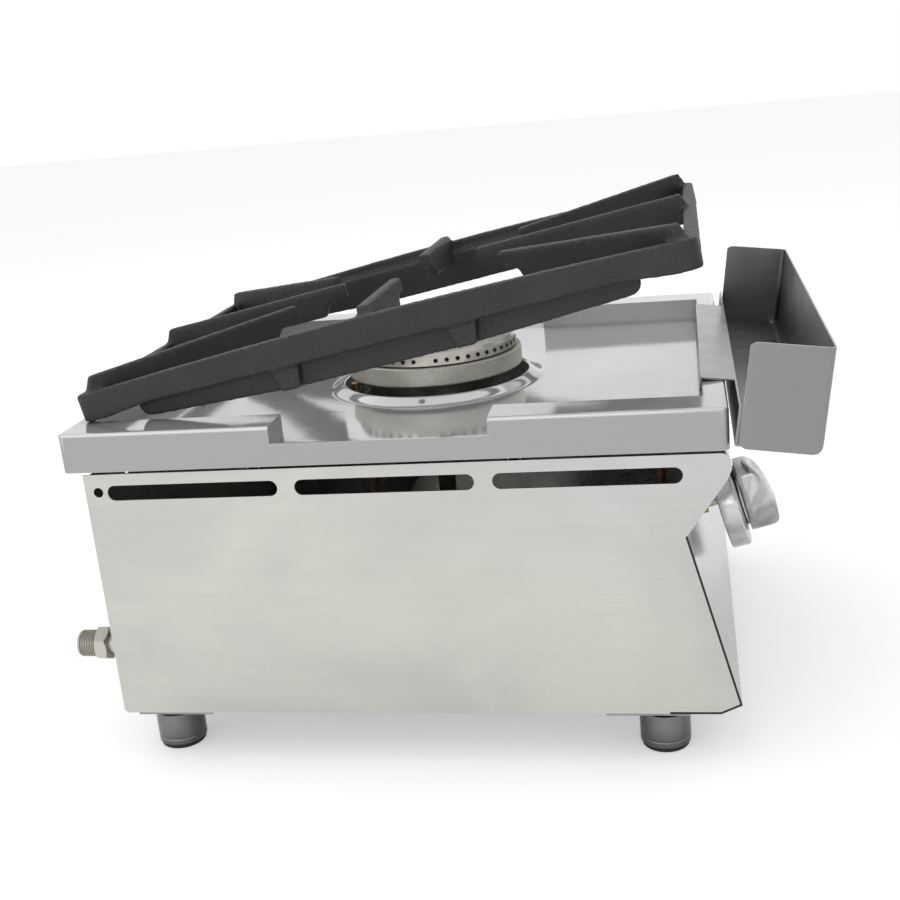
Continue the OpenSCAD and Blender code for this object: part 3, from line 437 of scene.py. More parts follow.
@dataclass(frozen=True)
class CastIron:
    """Cast metal with a sandy skin."""

    name: str
    colour: Colour
    shade: Colour
    worn: Colour
    roughness: float
    metallic: float = 0.0
    skin_scale: float = 500.0
    skin_depth: float = 0.12 * MM
    wear_radius: float = 1.2 * MM
    wear_gain: float = 1.4
    bloom: Colour | None = None
    # Colour of faces that look up: painted light, which makes tops lighter than sides.
    top: Colour | None = None
    cloud: float = 14.0
    cloud_warp: float = 0.8
    bloom_scale: float = 38.0
    bloom_warp: float = 1.0
    bloom_share: float = 0.4
    grit_share: float = 0.35
    grit_shade: float = 0.62
    # Painted shade in corners, gaps and under overhangs of the casting, such as the rib under the grate's
    # frame.
    dirt_and_shade_reach: float = 30.0 * MM
    crevice_shade_share: float = 0.6
    crevice_shade_tone: float = 0.3
    smoother: float = 0.06
    rougher: float = 0.1

    def make(self) -> bpy.types.Material:
        """Builds the material."""
        material, graph, shader = new_material(self.name, self.metallic)
        cloud = EFFECTS.place(graph, "cloud_tone", Scale=self.cloud, Warp=self.cloud_warp).outputs["Mask"]
        skin = EFFECTS.place(graph, "cast_skin", Scale=self.skin_scale)
        colour = graph.mix(cloud, self.colour, self.shade)
        if self.bloom is not None:
            patch = EFFECTS.place(graph, "cloud_tone", Scale=self.bloom_scale,
                                  Warp=self.bloom_warp).outputs["Mask"]
            colour = graph.mix(graph.math("MULTIPLY", patch, self.bloom_share), colour, self.bloom)
        # Painted light: faces that look up take the lighter top colour.
        if self.top is not None:
            colour = graph.mix(EFFECTS.place(graph, "facing").outputs["Up"], colour, self.top)
        grit = graph.math("MULTIPLY", skin.outputs["Tone"], self.grit_share)
        colour = graph.mix(grit, colour, tuple(c * self.grit_shade for c in self.shade))
        wear = EFFECTS.place(graph, "edge_wear", Radius=self.wear_radius, Gain=self.wear_gain).outputs["Mask"]
        colour = graph.mix(wear, colour, self.worn)
        # Painted shade: darker where the AO mask finds corners and the parts under overhangs.
        dirt_and_shade = EFFECTS.place(graph, "crevice_shade", Reach=self.dirt_and_shade_reach).outputs["Mask"]
        colour = graph.mix(graph.math("MULTIPLY", dirt_and_shade, self.crevice_shade_share), colour,
                           tuple(c * self.crevice_shade_tone for c in self.shade))
        rough = graph.ramp(skin.outputs["Tone"], 0.0, 1.0, self.roughness - self.smoother,
                           self.roughness + self.rougher)
        normal = graph.bump(skin.outputs["Height"], self.skin_depth)
        graph.feed(shader, Base_Color=colour, Roughness=rough, Normal=normal)
        return material


@dataclass(frozen=True)
class TurnedMetal:
    """Turned or plated metal, such as chrome, brass, copper and zinc."""

    name: str
    colour: Colour
    # Tarnish colour. On chrome, its dark patches are painted reflections.
    tarnish_and_reflection: Colour
    roughness: float
    tarnish_share: float = 0.5
    tarnish_scale: float = 30.0
    grain: Grain = Grain.NONE
    grain_depth: float = 0.015 * MM
    edge: Colour = (0.8, 0.8, 0.8)
    # Darkening in corners and gaps: dirt together with painted shade.
    dirt_and_shade: float = 0.4
    tarnish_warp: float = 1.2
    tarnish_rough: float = 0.3
    dirt_and_shade_reach: float = 4.0 * MM
    dirt_and_shade_colour: Colour = (0.05, 0.045, 0.04)
    wear_radius: float = 0.5 * MM
    wear_gain: float = 2.0
    rough_spread: float = 0.05

    def make(self) -> bpy.types.Material:
        """Builds the material."""
        material, graph, shader = new_material(self.name, 1.0)
        stain_and_reflection = EFFECTS.place(graph, "cloud_tone", Scale=self.tarnish_scale,
                              Warp=self.tarnish_warp).outputs["Mask"]
        grain = EFFECTS.place(graph, "brush_grain", Stretch=self.grain.value)
        # Patches of real tarnish. On chrome they are painted dark reflections.
        share = graph.math("MULTIPLY", stain_and_reflection, self.tarnish_share)
        colour = graph.mix(share, self.colour, self.tarnish_and_reflection)
        # Darker in corners and gaps, by an AO mask: dirt together with painted shade.
        dirt_and_shade = EFFECTS.place(graph, "crevice_shade", Reach=self.dirt_and_shade_reach).outputs["Mask"]
        colour = graph.mix(graph.math("MULTIPLY", dirt_and_shade, self.dirt_and_shade), colour, self.dirt_and_shade_colour)
        wear = EFFECTS.place(graph, "edge_wear", Radius=self.wear_radius, Gain=self.wear_gain).outputs["Mask"]
        colour = graph.mix(wear, colour, self.edge)
        rough = graph.math("ADD", graph.math("MULTIPLY", share, self.tarnish_rough),
                           graph.ramp(grain.outputs["Tone"], 0.0, 1.0, self.roughness,
                                      self.roughness + self.rough_spread))
        normal = graph.bump(grain.outputs["Height"], self.grain_depth)
        graph.feed(shader, Base_Color=colour, Roughness=rough, Normal=normal)
        return material


@dataclass(frozen=True)
class Rubber:
    """Moulded rubber with a dusty bloom."""

    name: str
    colour: Colour
    dust: Colour
    roughness: float
    specular: float = 0.3
    skin_scale: float = 900.0
    skin_depth: float = 0.05 * MM
    bloom_scale: float = 60.0
    bloom_warp: float = 0.8
    bloom_share: float = 0.35
    wear_radius: float = 0.5 * MM
    wear_gain: float = 1.5
    rough_spread: float = 0.08

    def make(self) -> bpy.types.Material:
        """Builds the material."""
        material, graph, shader = new_material(self.name, 0.0, {"Specular IOR Level": self.specular})
        skin = EFFECTS.place(graph, "cast_skin", Scale=self.skin_scale)
        bloom = EFFECTS.place(graph, "cloud_tone", Scale=self.bloom_scale,
                              Warp=self.bloom_warp).outputs["Mask"]
        colour = graph.mix(graph.math("MULTIPLY", bloom, self.bloom_share), self.colour, self.dust)
        wear = EFFECTS.place(graph, "edge_wear", Radius=self.wear_radius, Gain=self.wear_gain).outputs["Mask"]
        colour = graph.mix(wear, colour, self.dust)
        rough = graph.ramp(bloom, 0.0, 1.0, self.roughness - self.rough_spread,
                           self.roughness + self.rough_spread)
        graph.feed(shader, Base_Color=colour, Roughness=rough,
                   Normal=graph.bump(skin.outputs["Height"], self.skin_depth))
        return material


class Finishes:
    """Every finish of the burner, made once under the record's slot names."""

    def __init__(self) -> None:
        """Builds the materials."""
        finishes = [
            # The upright colours of the worktop and the trough are painted shade on their upright faces.
            SheetSteel("worktop_steel", (0.84, 0.845, 0.85), (0.76, 0.76, 0.785), roughness=0.08,
                       rough_spread=0.02, grain=Grain.ALONG_Y, grain_tone=0.08, grain_depth=0.004 * MM,
                       cloud=5.0, waves=0.25 * MM, upright=(0.43, 0.43, 0.43), upright_roughness=0.27,
                       metallic=0.68),
            # The side steel's cream colour is a painted reflection of a table surface.
            SheetSteel("side_steel", (0.66, 0.66, 0.655), (0.57, 0.572, 0.545), roughness=0.26,
                       rough_spread=0.08, grain=Grain.ALONG_Y, grain_tone=0.1, grain_depth=0.01 * MM,
                       cloud=4.0, waves=0.3 * MM, cream_reflection=(0.68, 0.68, 0.62)),
            SheetSteel("front_steel", (0.64, 0.64, 0.64), (0.52, 0.52, 0.525), roughness=0.1,
                       rough_spread=0.04, grain_tone=0.08, grain_depth=0.006 * MM, cloud=5.0,
                       waves=0.5 * MM),
            # The deep colours of the trough, inner steel and foot steel are painted shade where little light
            # reaches.
            SheetSteel("trough_steel", (0.56, 0.56, 0.56), (0.48, 0.48, 0.485), roughness=0.24,
                       grain=Grain.ALONG_Y, grain_tone=0.22, grain_depth=0.012 * MM, cloud=5.0,
                       upright=(0.3, 0.3, 0.3), upright_roughness=0.08, deep_shade=(0.1, 0.1, 0.1),
                       deep_shade_reach=70.0 * MM),
            SheetSteel("inner_steel", (0.46, 0.46, 0.45), (0.36, 0.36, 0.35), roughness=0.35,
                       rough_spread=0.12, grain_depth=0.01 * MM, deep_shade=(0.06, 0.06, 0.06)),
            SheetSteel("dark_steel", (0.2, 0.16, 0.13), (0.11, 0.08, 0.07), roughness=0.45,
                       rough_spread=0.15, grain=Grain.ALONG_Z, grain_tone=0.2, cloud=18.0,
                       edge=(0.35, 0.28, 0.22)),
            SheetSteel("foot_steel", (0.5, 0.5, 0.505), (0.4, 0.4, 0.41), roughness=0.2,
                       grain=Grain.NONE, grain_tone=0.08, grain_depth=0.006 * MM, cloud=14.0,
                       deep_shade=(0.06, 0.06, 0.06), deep_shade_reach=80.0 * MM),
            # The crown's darker corners are dirt together with painted shade.
            SheetSteel("crown_steel", (0.66, 0.645, 0.585), (0.57, 0.55, 0.49), roughness=0.28,
                       grain=Grain.NONE, grain_tone=0.08, grain_depth=0.004 * MM, cloud=12.0, dirt_and_shade=0.6),
            # The grate's lighter top colour is painted light on the faces that look up.
            CastIron("grate_iron", (0.034, 0.034, 0.036), (0.024, 0.024, 0.026), (0.13, 0.13, 0.13),
                     roughness=0.52, skin_scale=420.0, skin_depth=0.1 * MM, wear_radius=1.6 * MM,
                     wear_gain=1.0, top=(0.06, 0.06, 0.062)),
            CastIron("base_iron", (0.72, 0.72, 0.65), (0.56, 0.555, 0.5), (0.8, 0.8, 0.74),
                     roughness=0.46, metallic=1.0, skin_scale=650.0, skin_depth=0.06 * MM,
                     wear_radius=0.8 * MM, bloom=(0.6, 0.56, 0.45)),
            CastIron("mixer_iron", (0.26, 0.26, 0.25), (0.17, 0.165, 0.16), (0.4, 0.4, 0.38),
                     roughness=0.55, metallic=1.0, skin_scale=420.0, skin_depth=0.15 * MM),
            TurnedMetal("zinc", (0.62, 0.61, 0.55), (0.5, 0.42, 0.3), roughness=0.28, tarnish_scale=40.0),
            TurnedMetal("brass", (0.68, 0.5, 0.2), (0.38, 0.26, 0.12), roughness=0.26, tarnish_scale=60.0,
                        edge=(0.8, 0.62, 0.32)),
            TurnedMetal("copper", (0.66, 0.34, 0.2), (0.3, 0.15, 0.1), roughness=0.28, tarnish_share=0.6,
                        tarnish_scale=45.0, edge=(0.75, 0.45, 0.3)),
            # Chrome's dark patches stand in for reflections: painted reflection.
            TurnedMetal("chrome", (0.66, 0.66, 0.67), (0.14, 0.135, 0.13), roughness=0.05,
                        tarnish_share=0.6, tarnish_scale=26.0, dirt_and_shade=0.7),
            TurnedMetal("steel_rod", (0.56, 0.56, 0.55), (0.4, 0.39, 0.37), roughness=0.26,
                        tarnish_share=0.4, tarnish_scale=50.0),
            Rubber("rubber", (0.022, 0.022, 0.023), (0.07, 0.068, 0.065), roughness=0.7),
        ]
        self.by_slot = {finish.name: finish.make() for finish in finishes}

    def give(self, piece: bpy.types.Object, slot: str) -> None:
        """Gives a piece its finish and names its slot.

        Args:
            piece: the piece.
            slot: the record's material slot.
        """
        piece.data.materials.clear()
        piece.data.materials.append(self.by_slot[slot])


def add_object(name: str, mesh: bpy.types.Mesh) -> bpy.types.Object:
    """Links a mesh to the scene as an object at the origin.

    Args:
        name: the object's name.
        mesh: its mesh.

    Returns:
        The object.
    """
    piece = bpy.data.objects.new(name, mesh)
    bpy.context.scene.collection.objects.link(piece)
    return piece


def mesh_from(name: str, work: bmesh.types.BMesh) -> bpy.types.Mesh:
    """Turns a work mesh into a plain mesh and frees it.

    Args:
        name: the mesh's name.
        work: the work mesh.

    Returns:
        The mesh, with nothing but vertices and faces.
    """
    work.verts.index_update()
    mesh = bpy.data.meshes.new(name)
    mesh.from_pydata([v.co[:] for v in work.verts], [], [[v.index for v in f.verts] for f in work.faces])
    work.free()
    mesh.update()
    return mesh


def merged(node: str) -> bmesh.types.BMesh:
    """Copies a CAD node's triangles and joins them into one closed skin.

    Args:
        node: the CAD node.

    Returns:
        A work mesh.
    """
    work = bmesh.new()
    work.from_mesh(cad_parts[node].data)
    bmesh.ops.remove_doubles(work, verts=work.verts, dist=MERGE)
    bmesh.ops.dissolve_degenerate(work, dist=MERGE / 2, edges=work.edges)
    return work


def flattened(work: bmesh.types.BMesh) -> bmesh.types.BMesh:
    """Joins the coplanar triangles of a work mesh into large faces."""
    bmesh.ops.dissolve_limit(work, angle_limit=math.radians(0.3), verts=work.verts, edges=work.edges,
                             delimit={"NORMAL"})
    return work


def bake_modifiers(piece: bpy.types.Object) -> None:
    """Turns a piece's modifiers into plain mesh.

    Args:
        piece: the piece, which keeps its object.
    """
    graph = bpy.context.evaluated_depsgraph_get()
    baked = bpy.data.meshes.new_from_object(piece.evaluated_get(graph), depsgraph=graph)
    piece.modifiers.clear()
    piece.data = baked


def round_edges(piece: bpy.types.Object, width: float, segments: int = 2, angle: float = 32.0) -> None:
    """Rounds a piece's sharp edges and keeps its flat faces flat.

    Args:
        piece: the piece.
        width: width of the rounding.
        segments: steps in it.
        angle: least angle of an edge that is rounded, in degrees.
    """
    bevel = piece.modifiers.new("edge", "BEVEL")
    bevel.width = width
    bevel.segments = segments
    bevel.limit_method = "ANGLE"
    bevel.angle_limit = math.radians(angle)
    bevel.use_clamp_overlap = True
    bevel.miter_outer = "MITER_ARC"
    bake_modifiers(piece)


def smooth_by_angle(piece: bpy.types.Object, angle: float = 30.0) -> None:
    """Shades a piece smooth except over sharp edges.

    Args:
        piece: the piece.
        angle: least angle of a sharp edge, in degrees.
    """
    piece.data.shade_smooth()
    piece.data.set_sharp_from_angle(angle=math.radians(angle))


def weighted_normals(piece: bpy.types.Object, angle: float = 180.0) -> None:
    """Gives the large faces of a rounded piece their own normals.

    Args:
        piece: the piece.
        angle: least angle of an edge that stays sharp, in degrees.
    """
    smooth_by_angle(piece, angle)
    modifier = piece.modifiers.new("normals", "WEIGHTED_NORMAL")
    modifier.keep_sharp = True
    modifier.weight = 80
    bake_modifiers(piece)


def settle(piece: bpy.types.Object, body: str, slot: str, finishes: Finishes, nodes: Iterable[str]) -> None:
    """Finishes a piece: material, body, and the CAD nodes that it stands for.

    Args:
        piece: the piece.
        body: the CAD body that it rides on.
        slot: its material slot.
        finishes: the finishes.
        nodes: CAD nodes that it replaces.
    """
    finishes.give(piece, slot)
    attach(piece, body)
    named = list(nodes)
    if named:
        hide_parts(*named)
    LOG.info("%s: %d faces on %s", piece.name, len(piece.data.polygons), body)


def dressed_copy(name: str, node: str, body: str, slot: str, finishes: Finishes, edge: float = 0.0,
                 angle: float = 32.0) -> bpy.types.Object:
    """Builds a piece from a CAD node's own shape, with its edges eased.

    Args:
        name: the piece's name.
        node: the CAD node.
        body: its body.
        slot: its material slot.
        finishes: the finishes.
        edge: width of the eased edges, or 0 for none.
        angle: least angle between faces that counts as an edge, in degrees.

    Returns:
        The piece.
    """
    work = merged(node)
    if edge:
        flattened(work)
    piece = add_object(name, mesh_from(name, work))
    if edge:
        round_edges(piece, edge, 2, angle)
        weighted_normals(piece)
    else:
        smooth_by_angle(piece, angle)
    settle(piece, body, slot, finishes, [node])
    return piece


def eased(points: Sequence[Point], reach: float, closed: bool = False, steps: int = 3) -> list[Point]:
    """Rounds the corners of a profile.

    Args:
        points: corners of the profile.
        reach: length of each side that the rounding takes.
        closed: True if the last corner joins the first.
        steps: steps in each rounding.

    Returns:
        The points of the rounded profile.
    """
    count = len(points)
    made: list[Point] = []
    for i, corner in enumerate(points):
        if not closed and i in (0, count - 1):
            made.append(corner)
            continue
        here = Vector(corner)
        before, after = Vector(points[i - 1]), Vector(points[(i + 1) % count])
        first = here + (before - here).normalized() * min(reach, 0.45 * (before - here).length)
        last = here + (after - here).normalized() * min(reach, 0.45 * (after - here).length)
        for k in range(steps + 1):
            t = k / steps
            spot = first * (1 - t) ** 2 + here * (2 * t * (1 - t)) + last * t * t
            made.append((spot.x, spot.y))
    return made


def revolve(work: bmesh.types.BMesh, profile: Sequence[Point], place: Matrix, segments: int = 96,
            closed: bool = True) -> None:
    """Adds a turned shape to a work mesh.

    Args:
        work: the work mesh.
        profile: radius and height of each point; a radius of 0 is a pole.
        place: frame of the shape, turned about its Z axis.
        segments: steps round the axis.
        closed: True if the last point joins the first.
    """
    rings: list[list[bmesh.types.BMVert]] = []
    for radius, height in profile:
        if radius < 1e-6:
            rings.append([work.verts.new(place @ Vector((0.0, 0.0, height)))])
            continue
        rings.append([
            work.verts.new(place @ Vector((radius * math.cos(a), radius * math.sin(a), height)))
            for a in (math.tau * k / segments for k in range(segments))])
    pairs = list(zip(rings, rings[1:]))
    if closed:
        pairs.append((rings[-1], rings[0]))
    for low, high in pairs:
        for k in range(segments):
            n = (k + 1) % segments
            corners = [low[k % len(low)], low[n % len(low)], high[n % len(high)], high[k % len(high)]]
            ring = list(dict.fromkeys(corners))
            if len(ring) > 2:
                work.faces.new(ring)


def six_sided(work: bmesh.types.BMesh, place: Matrix, across: float, length: float, bore: float) -> None:
    """Adds a six-sided nut with chamfered corners.

    Args:
        work: the work mesh.
        place: frame of the nut, with its axis along Z.
        across: half the width across its flats.
        length: its length.
        bore: radius of its hole.
    """
    steps = 48
    chamfer = math.tan(math.radians(30.0))
    face = across * 0.985
    rings: list[list[bmesh.types.BMVert]] = [[], [], [], [], [], []]
    for k in range(steps):
        turn = math.tau * k / steps
        hexed = across / math.cos((turn + math.pi / 6) % (math.pi / 3) - math.pi / 6)
        down = (hexed - face) * chamfer
        section = ((bore, 0.0), (face, 0.0), (hexed, down), (hexed, length - down), (face, length),
                   (bore, length))
        for ring, (radius, height) in zip(rings, section):
            spot = Vector((radius * math.cos(turn), radius * math.sin(turn), height))
            ring.append(work.verts.new(place @ spot))
    for low, high in zip(rings, rings[1:] + rings[:1]):
        for k in range(steps):
            n = (k + 1) % steps
            work.faces.new((low[k], low[n], high[n], high[k]))


def axis_frame(origin: Vector, axis: Vector) -> Matrix:
    """Frame at a point with its Z along an axis.

    Args:
        origin: the point.
        axis: the direction.

    Returns:
        The frame.
    """
    return Matrix.Translation(origin) @ axis.normalized().to_track_quat("Z", "Y").to_matrix().to_4x4()


def middle(node: str) -> Vector:
    """Middle of a CAD node's box."""
    low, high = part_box(node)
    return (low + high) / 2


def closed_piece(name: str, work: bmesh.types.BMesh, angle: float = 30.0) -> bpy.types.Object:
    """Makes an object of a closed work mesh, with its faces outward.

    Args:
        name: the piece's name.
        work: the work mesh.
        angle: least angle of a sharp edge, in degrees.

    Returns:
        The piece.
    """
    bmesh.ops.remove_doubles(work, verts=work.verts, dist=MERGE / 10)
    bmesh.ops.recalc_face_normals(work, faces=work.faces)
    piece = add_object(name, mesh_from(name, work))
    smooth_by_angle(piece, angle)
    return piece


@dataclass
class RingCopies:
    """Geometry Nodes tree that sets small rings in a circle."""

    name: str
    count: int
    ring_radius: float
    wire_radius: float
    circle_radius: float
    leave_out: int
    turn: float
    sides: int = 6
    around: int = 14

    def _tree(self) -> tuple[bpy.types.NodeTree, dict[str, str]]:
        """Builds the tree.

        Returns:
            The tree, and the identifier of each input by its name.
        """
        tree = bpy.data.node_groups.new(self.name, "GeometryNodeTree")
        kinds = [("Count", "NodeSocketInt"), ("Leave Out", "NodeSocketInt"), ("Circle", "NodeSocketFloat"),
                 ("Turn", "NodeSocketFloat"), ("Ring", "NodeSocketFloat"), ("Wire", "NodeSocketFloat"),
                 ("Finish", "NodeSocketMaterial")]
        names = {}
        for label, kind in kinds:
            names[label] = tree.interface.new_socket(label, in_out="INPUT", socket_type=kind).identifier
        tree.interface.new_socket("Geometry", in_out="OUTPUT", socket_type="NodeSocketGeometry")
        graph = Graph(tree)
        given, result = graph.add("NodeGroupInput"), graph.add("NodeGroupOutput")
        outer = graph.feed(graph.add("GeometryNodeCurvePrimitiveCircle"), Resolution=self.around,
                           Radius=given.outputs["Ring"])
        wire = graph.feed(graph.add("GeometryNodeCurvePrimitiveCircle"), Resolution=self.sides,
                          Radius=given.outputs["Wire"])
        ring = graph.add("GeometryNodeCurveToMesh")
        graph.feed(ring, Curve=outer.outputs["Curve"], Profile_Curve=wire.outputs["Curve"])
        places = graph.add("GeometryNodeMeshCircle")
        graph.feed(places, Vertices=given.outputs["Count"], Radius=given.outputs["Circle"])
        index = graph.add("GeometryNodeInputIndex").outputs[0]
        left = graph.math("MODULO", index, given.outputs["Leave Out"])
        gone = graph.add("FunctionNodeCompare", data_type="FLOAT", operation="LESS_THAN")
        graph.feed(gone, i0=left, i1=0.5)
        kept = graph.add("GeometryNodeDeleteGeometry", domain="POINT")
        graph.feed(kept, Geometry=places.outputs["Mesh"], Selection=gone.outputs[0])
        spin = graph.feed(graph.add("ShaderNodeCombineXYZ"), Z=given.outputs["Turn"])
        turned = graph.add("GeometryNodeTransform")
        graph.feed(turned, Geometry=kept.outputs[0], Rotation=spin.outputs[0])
        outward = graph.add("FunctionNodeAlignRotationToVector", axis="Z")
        graph.feed(outward, Vector=graph.add("GeometryNodeInputPosition").outputs[0])
        setting = graph.add("GeometryNodeInstanceOnPoints")
        graph.feed(setting, Points=turned.outputs[0], Rotation=outward.outputs[0])
        graph.feed(setting, Instance=ring.outputs[0])
        real = graph.feed(graph.add("GeometryNodeRealizeInstances"), Geometry=setting.outputs[0])
        painted = graph.add("GeometryNodeSetMaterial")
        graph.feed(painted, Geometry=real.outputs[0], Material=given.outputs["Finish"])
        graph.feed(result, Geometry=painted.outputs[0])
        return tree, names

    def build(self, finish: bpy.types.Material) -> bpy.types.Mesh:
        """Runs the tree.

        Args:
            finish: the rings' material.

        Returns:
            The rings as one plain mesh, with the circle about Z at the origin.
        """
        tree, names = self._tree()
        carrier = add_object(self.name, bpy.data.meshes.new(self.name))
        modifier = carrier.modifiers.new(self.name, "NODES")
        modifier.node_group = tree
        for label, value in (("Count", self.count), ("Leave Out", self.leave_out),
                             ("Circle", self.circle_radius), ("Turn", self.turn),
                             ("Ring", self.ring_radius), ("Wire", self.wire_radius), ("Finish", finish)):
            modifier[names[label]] = value
        graph = bpy.context.evaluated_depsgraph_get()
        mesh = bpy.data.meshes.new_from_object(carrier.evaluated_get(graph), depsgraph=graph)
        bpy.data.objects.remove(carrier)
        return mesh


@dataclass
class Housing:
    """Folded sheets of the body, with the worktop and its raised ring."""

    finishes: Finishes
    edge: float = 0.25 * MM
    opening: float = 97.0 * MM
    sheet: float = 1.5 * MM
    skirt: float = 7.0 * MM
    ring_reach: float = 18.6 * MM
    ring_rise: float = 7.0 * MM
    ring_round: float = 4.0 * MM
    foot_run: float = 4.5 * MM
    foot_rise: float = 0.6 * MM
    crest_out: float = 4.2 * MM
    crest_fall: float = 0.6 * MM
    crest_in: float = 1.6 * MM
    mouth_fall: float = 2.4 * MM
    under_fall: float = 3.0 * MM
    under_foot: float = 6.0 * MM
    under_rise: float = 0.25 * MM
    under_round: float = 2.0 * MM
    sharp: float = 35.0
    # Dark strip along each side panel's front edge: a painted shadow of the seam.
    shadow_width: float = 1.7 * MM
    shadow_proud: float = 0.2 * MM
    shadow_deep: float = 0.6 * MM
    heel_run: float = 45.0 * MM
    corner_clear: float = 50.0 * MM

    def build(self) -> None:
        """Builds and dresses every sheet."""
        self.worktop()
        self.seam_shadows()
        for name, node, slot in (("left_side_sheet", "side_left", "side_steel"),
                                 ("right_side_sheet", "side_right", "side_steel"),
                                 ("front_sheet", "front_panel", "front_steel"),
                                 ("back_sheet", "back_panel", "inner_steel"),
                                 ("bottom_tray", "bottom_panel", "inner_steel"),
                                 ("bearer_channels", "bearers", "inner_steel"),
                                 ("foot_plate_set", "foot_plates", "foot_steel")):
            dressed_copy(name, node, "housing", slot, self.finishes, self.edge)

    def _front_edge(self, node: str) -> list[Point]:
        """Lower front edge of a side panel, from under its nose round the toe to its foot.

        Args:
            node: the side panel's CAD node.

        Returns:
            Corners, as Y and Z.
        """
        low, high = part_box(node)
        work = merged(node)
        spots = sorted({(round(v.co.y, 5), round(v.co.z, 5)) for v in work.verts})
        work.free()
        toe = spots[0]
        corner = min(s for s in spots if toe[1] + self.corner_clear < s[1] < high.z - self.corner_clear)
        chin = min(s for s in spots if s[1] < low.z + NEAR)
        return [corner, toe, chin, (chin[0] + self.heel_run, chin[1])]

    def seam_shadows(self) -> None:
        """Builds a dark strip along the front edge of each side panel: a painted shadow of the seam, in the
        rubber finish.
        """
        work = bmesh.new()
        for node, side in (("side_left", -1.0), ("side_right", 1.0)):
            low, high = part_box(node)
            face = low.x if side < 0 else high.x
            path = [Vector(point) for point in self._front_edge(node)]
            ways = [(b - a).normalized() for a, b in zip(path, path[1:])]
            inward = [Vector((-way.y, way.x)) for way in ways]
            shifts = [inward[0]]
            for first, second in zip(inward, inward[1:]):
                shifts.append((first + second) / (1.0 + first.dot(second)))
            shifts.append(inward[-1])
            rows = []
            for out in (self.shadow_proud, -self.shadow_deep):
                for reach in (-self.shadow_proud, self.shadow_width):
                    rows.append([work.verts.new((face + side * out, p.x + s.x * reach, p.y + s.y * reach))
                                 for p, s in zip(path, shifts)])
            near, near_in, far, far_in = rows
            for one, two in ((near, near_in), (near_in, far_in), (far_in, far), (far, near)):
                for k in range(len(path) - 1):
                    work.faces.new((one[k], one[k + 1], two[k + 1], two[k]))
            for k in (0, len(path) - 1):
                work.faces.new((near[k], near_in[k], far_in[k], far[k]))
        # The strip's dark rubber colour is painted shadow.
        settle(closed_piece("seam_shadow_strips", work), "housing", "rubber", self.finishes, [])

    def _ring_profile(self, floor: float) -> list[Point]:
        """Section of the raised ring, from its foot to the lower edge of its skirt.

        Args:
            floor: level of the well floor.

        Returns:
            Radius and height of each point.
        """
        foot, crest = self.opening + self.ring_reach, floor + self.ring_rise
        outer = eased([(foot, floor), (foot - self.foot_run, floor + self.foot_rise),
                       (self.opening + self.crest_out, crest - self.crest_fall),
                       (self.opening + self.crest_in, crest), (self.opening, crest - self.mouth_fall),
                       (self.opening, floor - self.skirt)], self.ring_round, steps=5)
        inner = eased([(self.opening + self.sheet, floor - self.skirt),
                       (self.opening + self.sheet, crest - self.under_fall),
                       (foot - self.under_foot, floor - self.sheet + self.under_rise)], self.under_round)
        return outer[1:] + inner

    def worktop(self) -> None:
        """Builds the worktop, with the ring round the burner turned as one smooth section."""
        work = merged("worktop")
        centre = middle("burner_crown")
        foot = self.opening + self.ring_reach

        def reach(vertex: bmesh.types.BMVert) -> float:
            """Distance of a vertex from the burner's axis."""
            return math.hypot(vertex.co.x - centre.x, vertex.co.y - centre.y)

        inside = [f for f in work.faces if all(reach(v) < foot + MERGE for v in f.verts)]
        floor = max(v.co.z for f in inside for v in f.verts if reach(v) > foot - MERGE)
        bmesh.ops.delete(work, geom=inside, context="FACES")
        top = [v for v in work.verts if v.is_boundary and abs(v.co.z - floor) < LEVEL
               and abs(reach(v) - foot) < NEAR]
        top.sort(key=lambda v: math.atan2(v.co.y - centre.y, v.co.x - centre.x))
        under = [e for e in work.edges if e.is_boundary
                 and all(abs(v.co.z - floor + self.sheet) < LEVEL and reach(v) < foot for v in e.verts)]
        rings = [top]
        for radius, height in self._ring_profile(floor):
            ring = []
            for v in top:
                turn = math.atan2(v.co.y - centre.y, v.co.x - centre.x)
                ring.append(work.verts.new((centre.x + radius * math.cos(turn),
                                            centre.y + radius * math.sin(turn), height)))
            rings.append(ring)
        for first, second in zip(rings, rings[1:]):
            for k in range(len(first)):
                n = (k + 1) % len(first)
                work.faces.new((first[k], second[k], second[n], first[n]))
        last = rings[-1]
        edge = [work.edges.get((v, last[(k + 1) % len(last)])) for k, v in enumerate(last)]
        bmesh.ops.bridge_loops(work, edges=under + edge)
        LOG.info("ring of %d steps, %d edges under it", len(top), len(under))
        bmesh.ops.remove_doubles(work, verts=work.verts, dist=MERGE)
        bmesh.ops.recalc_face_normals(work, faces=work.faces)
        piece = add_object("worktop_sheet", mesh_from("worktop_sheet", work))
        weighted_normals(piece, self.sharp)
        settle(piece, "housing", "worktop_steel", self.finishes, ["worktop"])


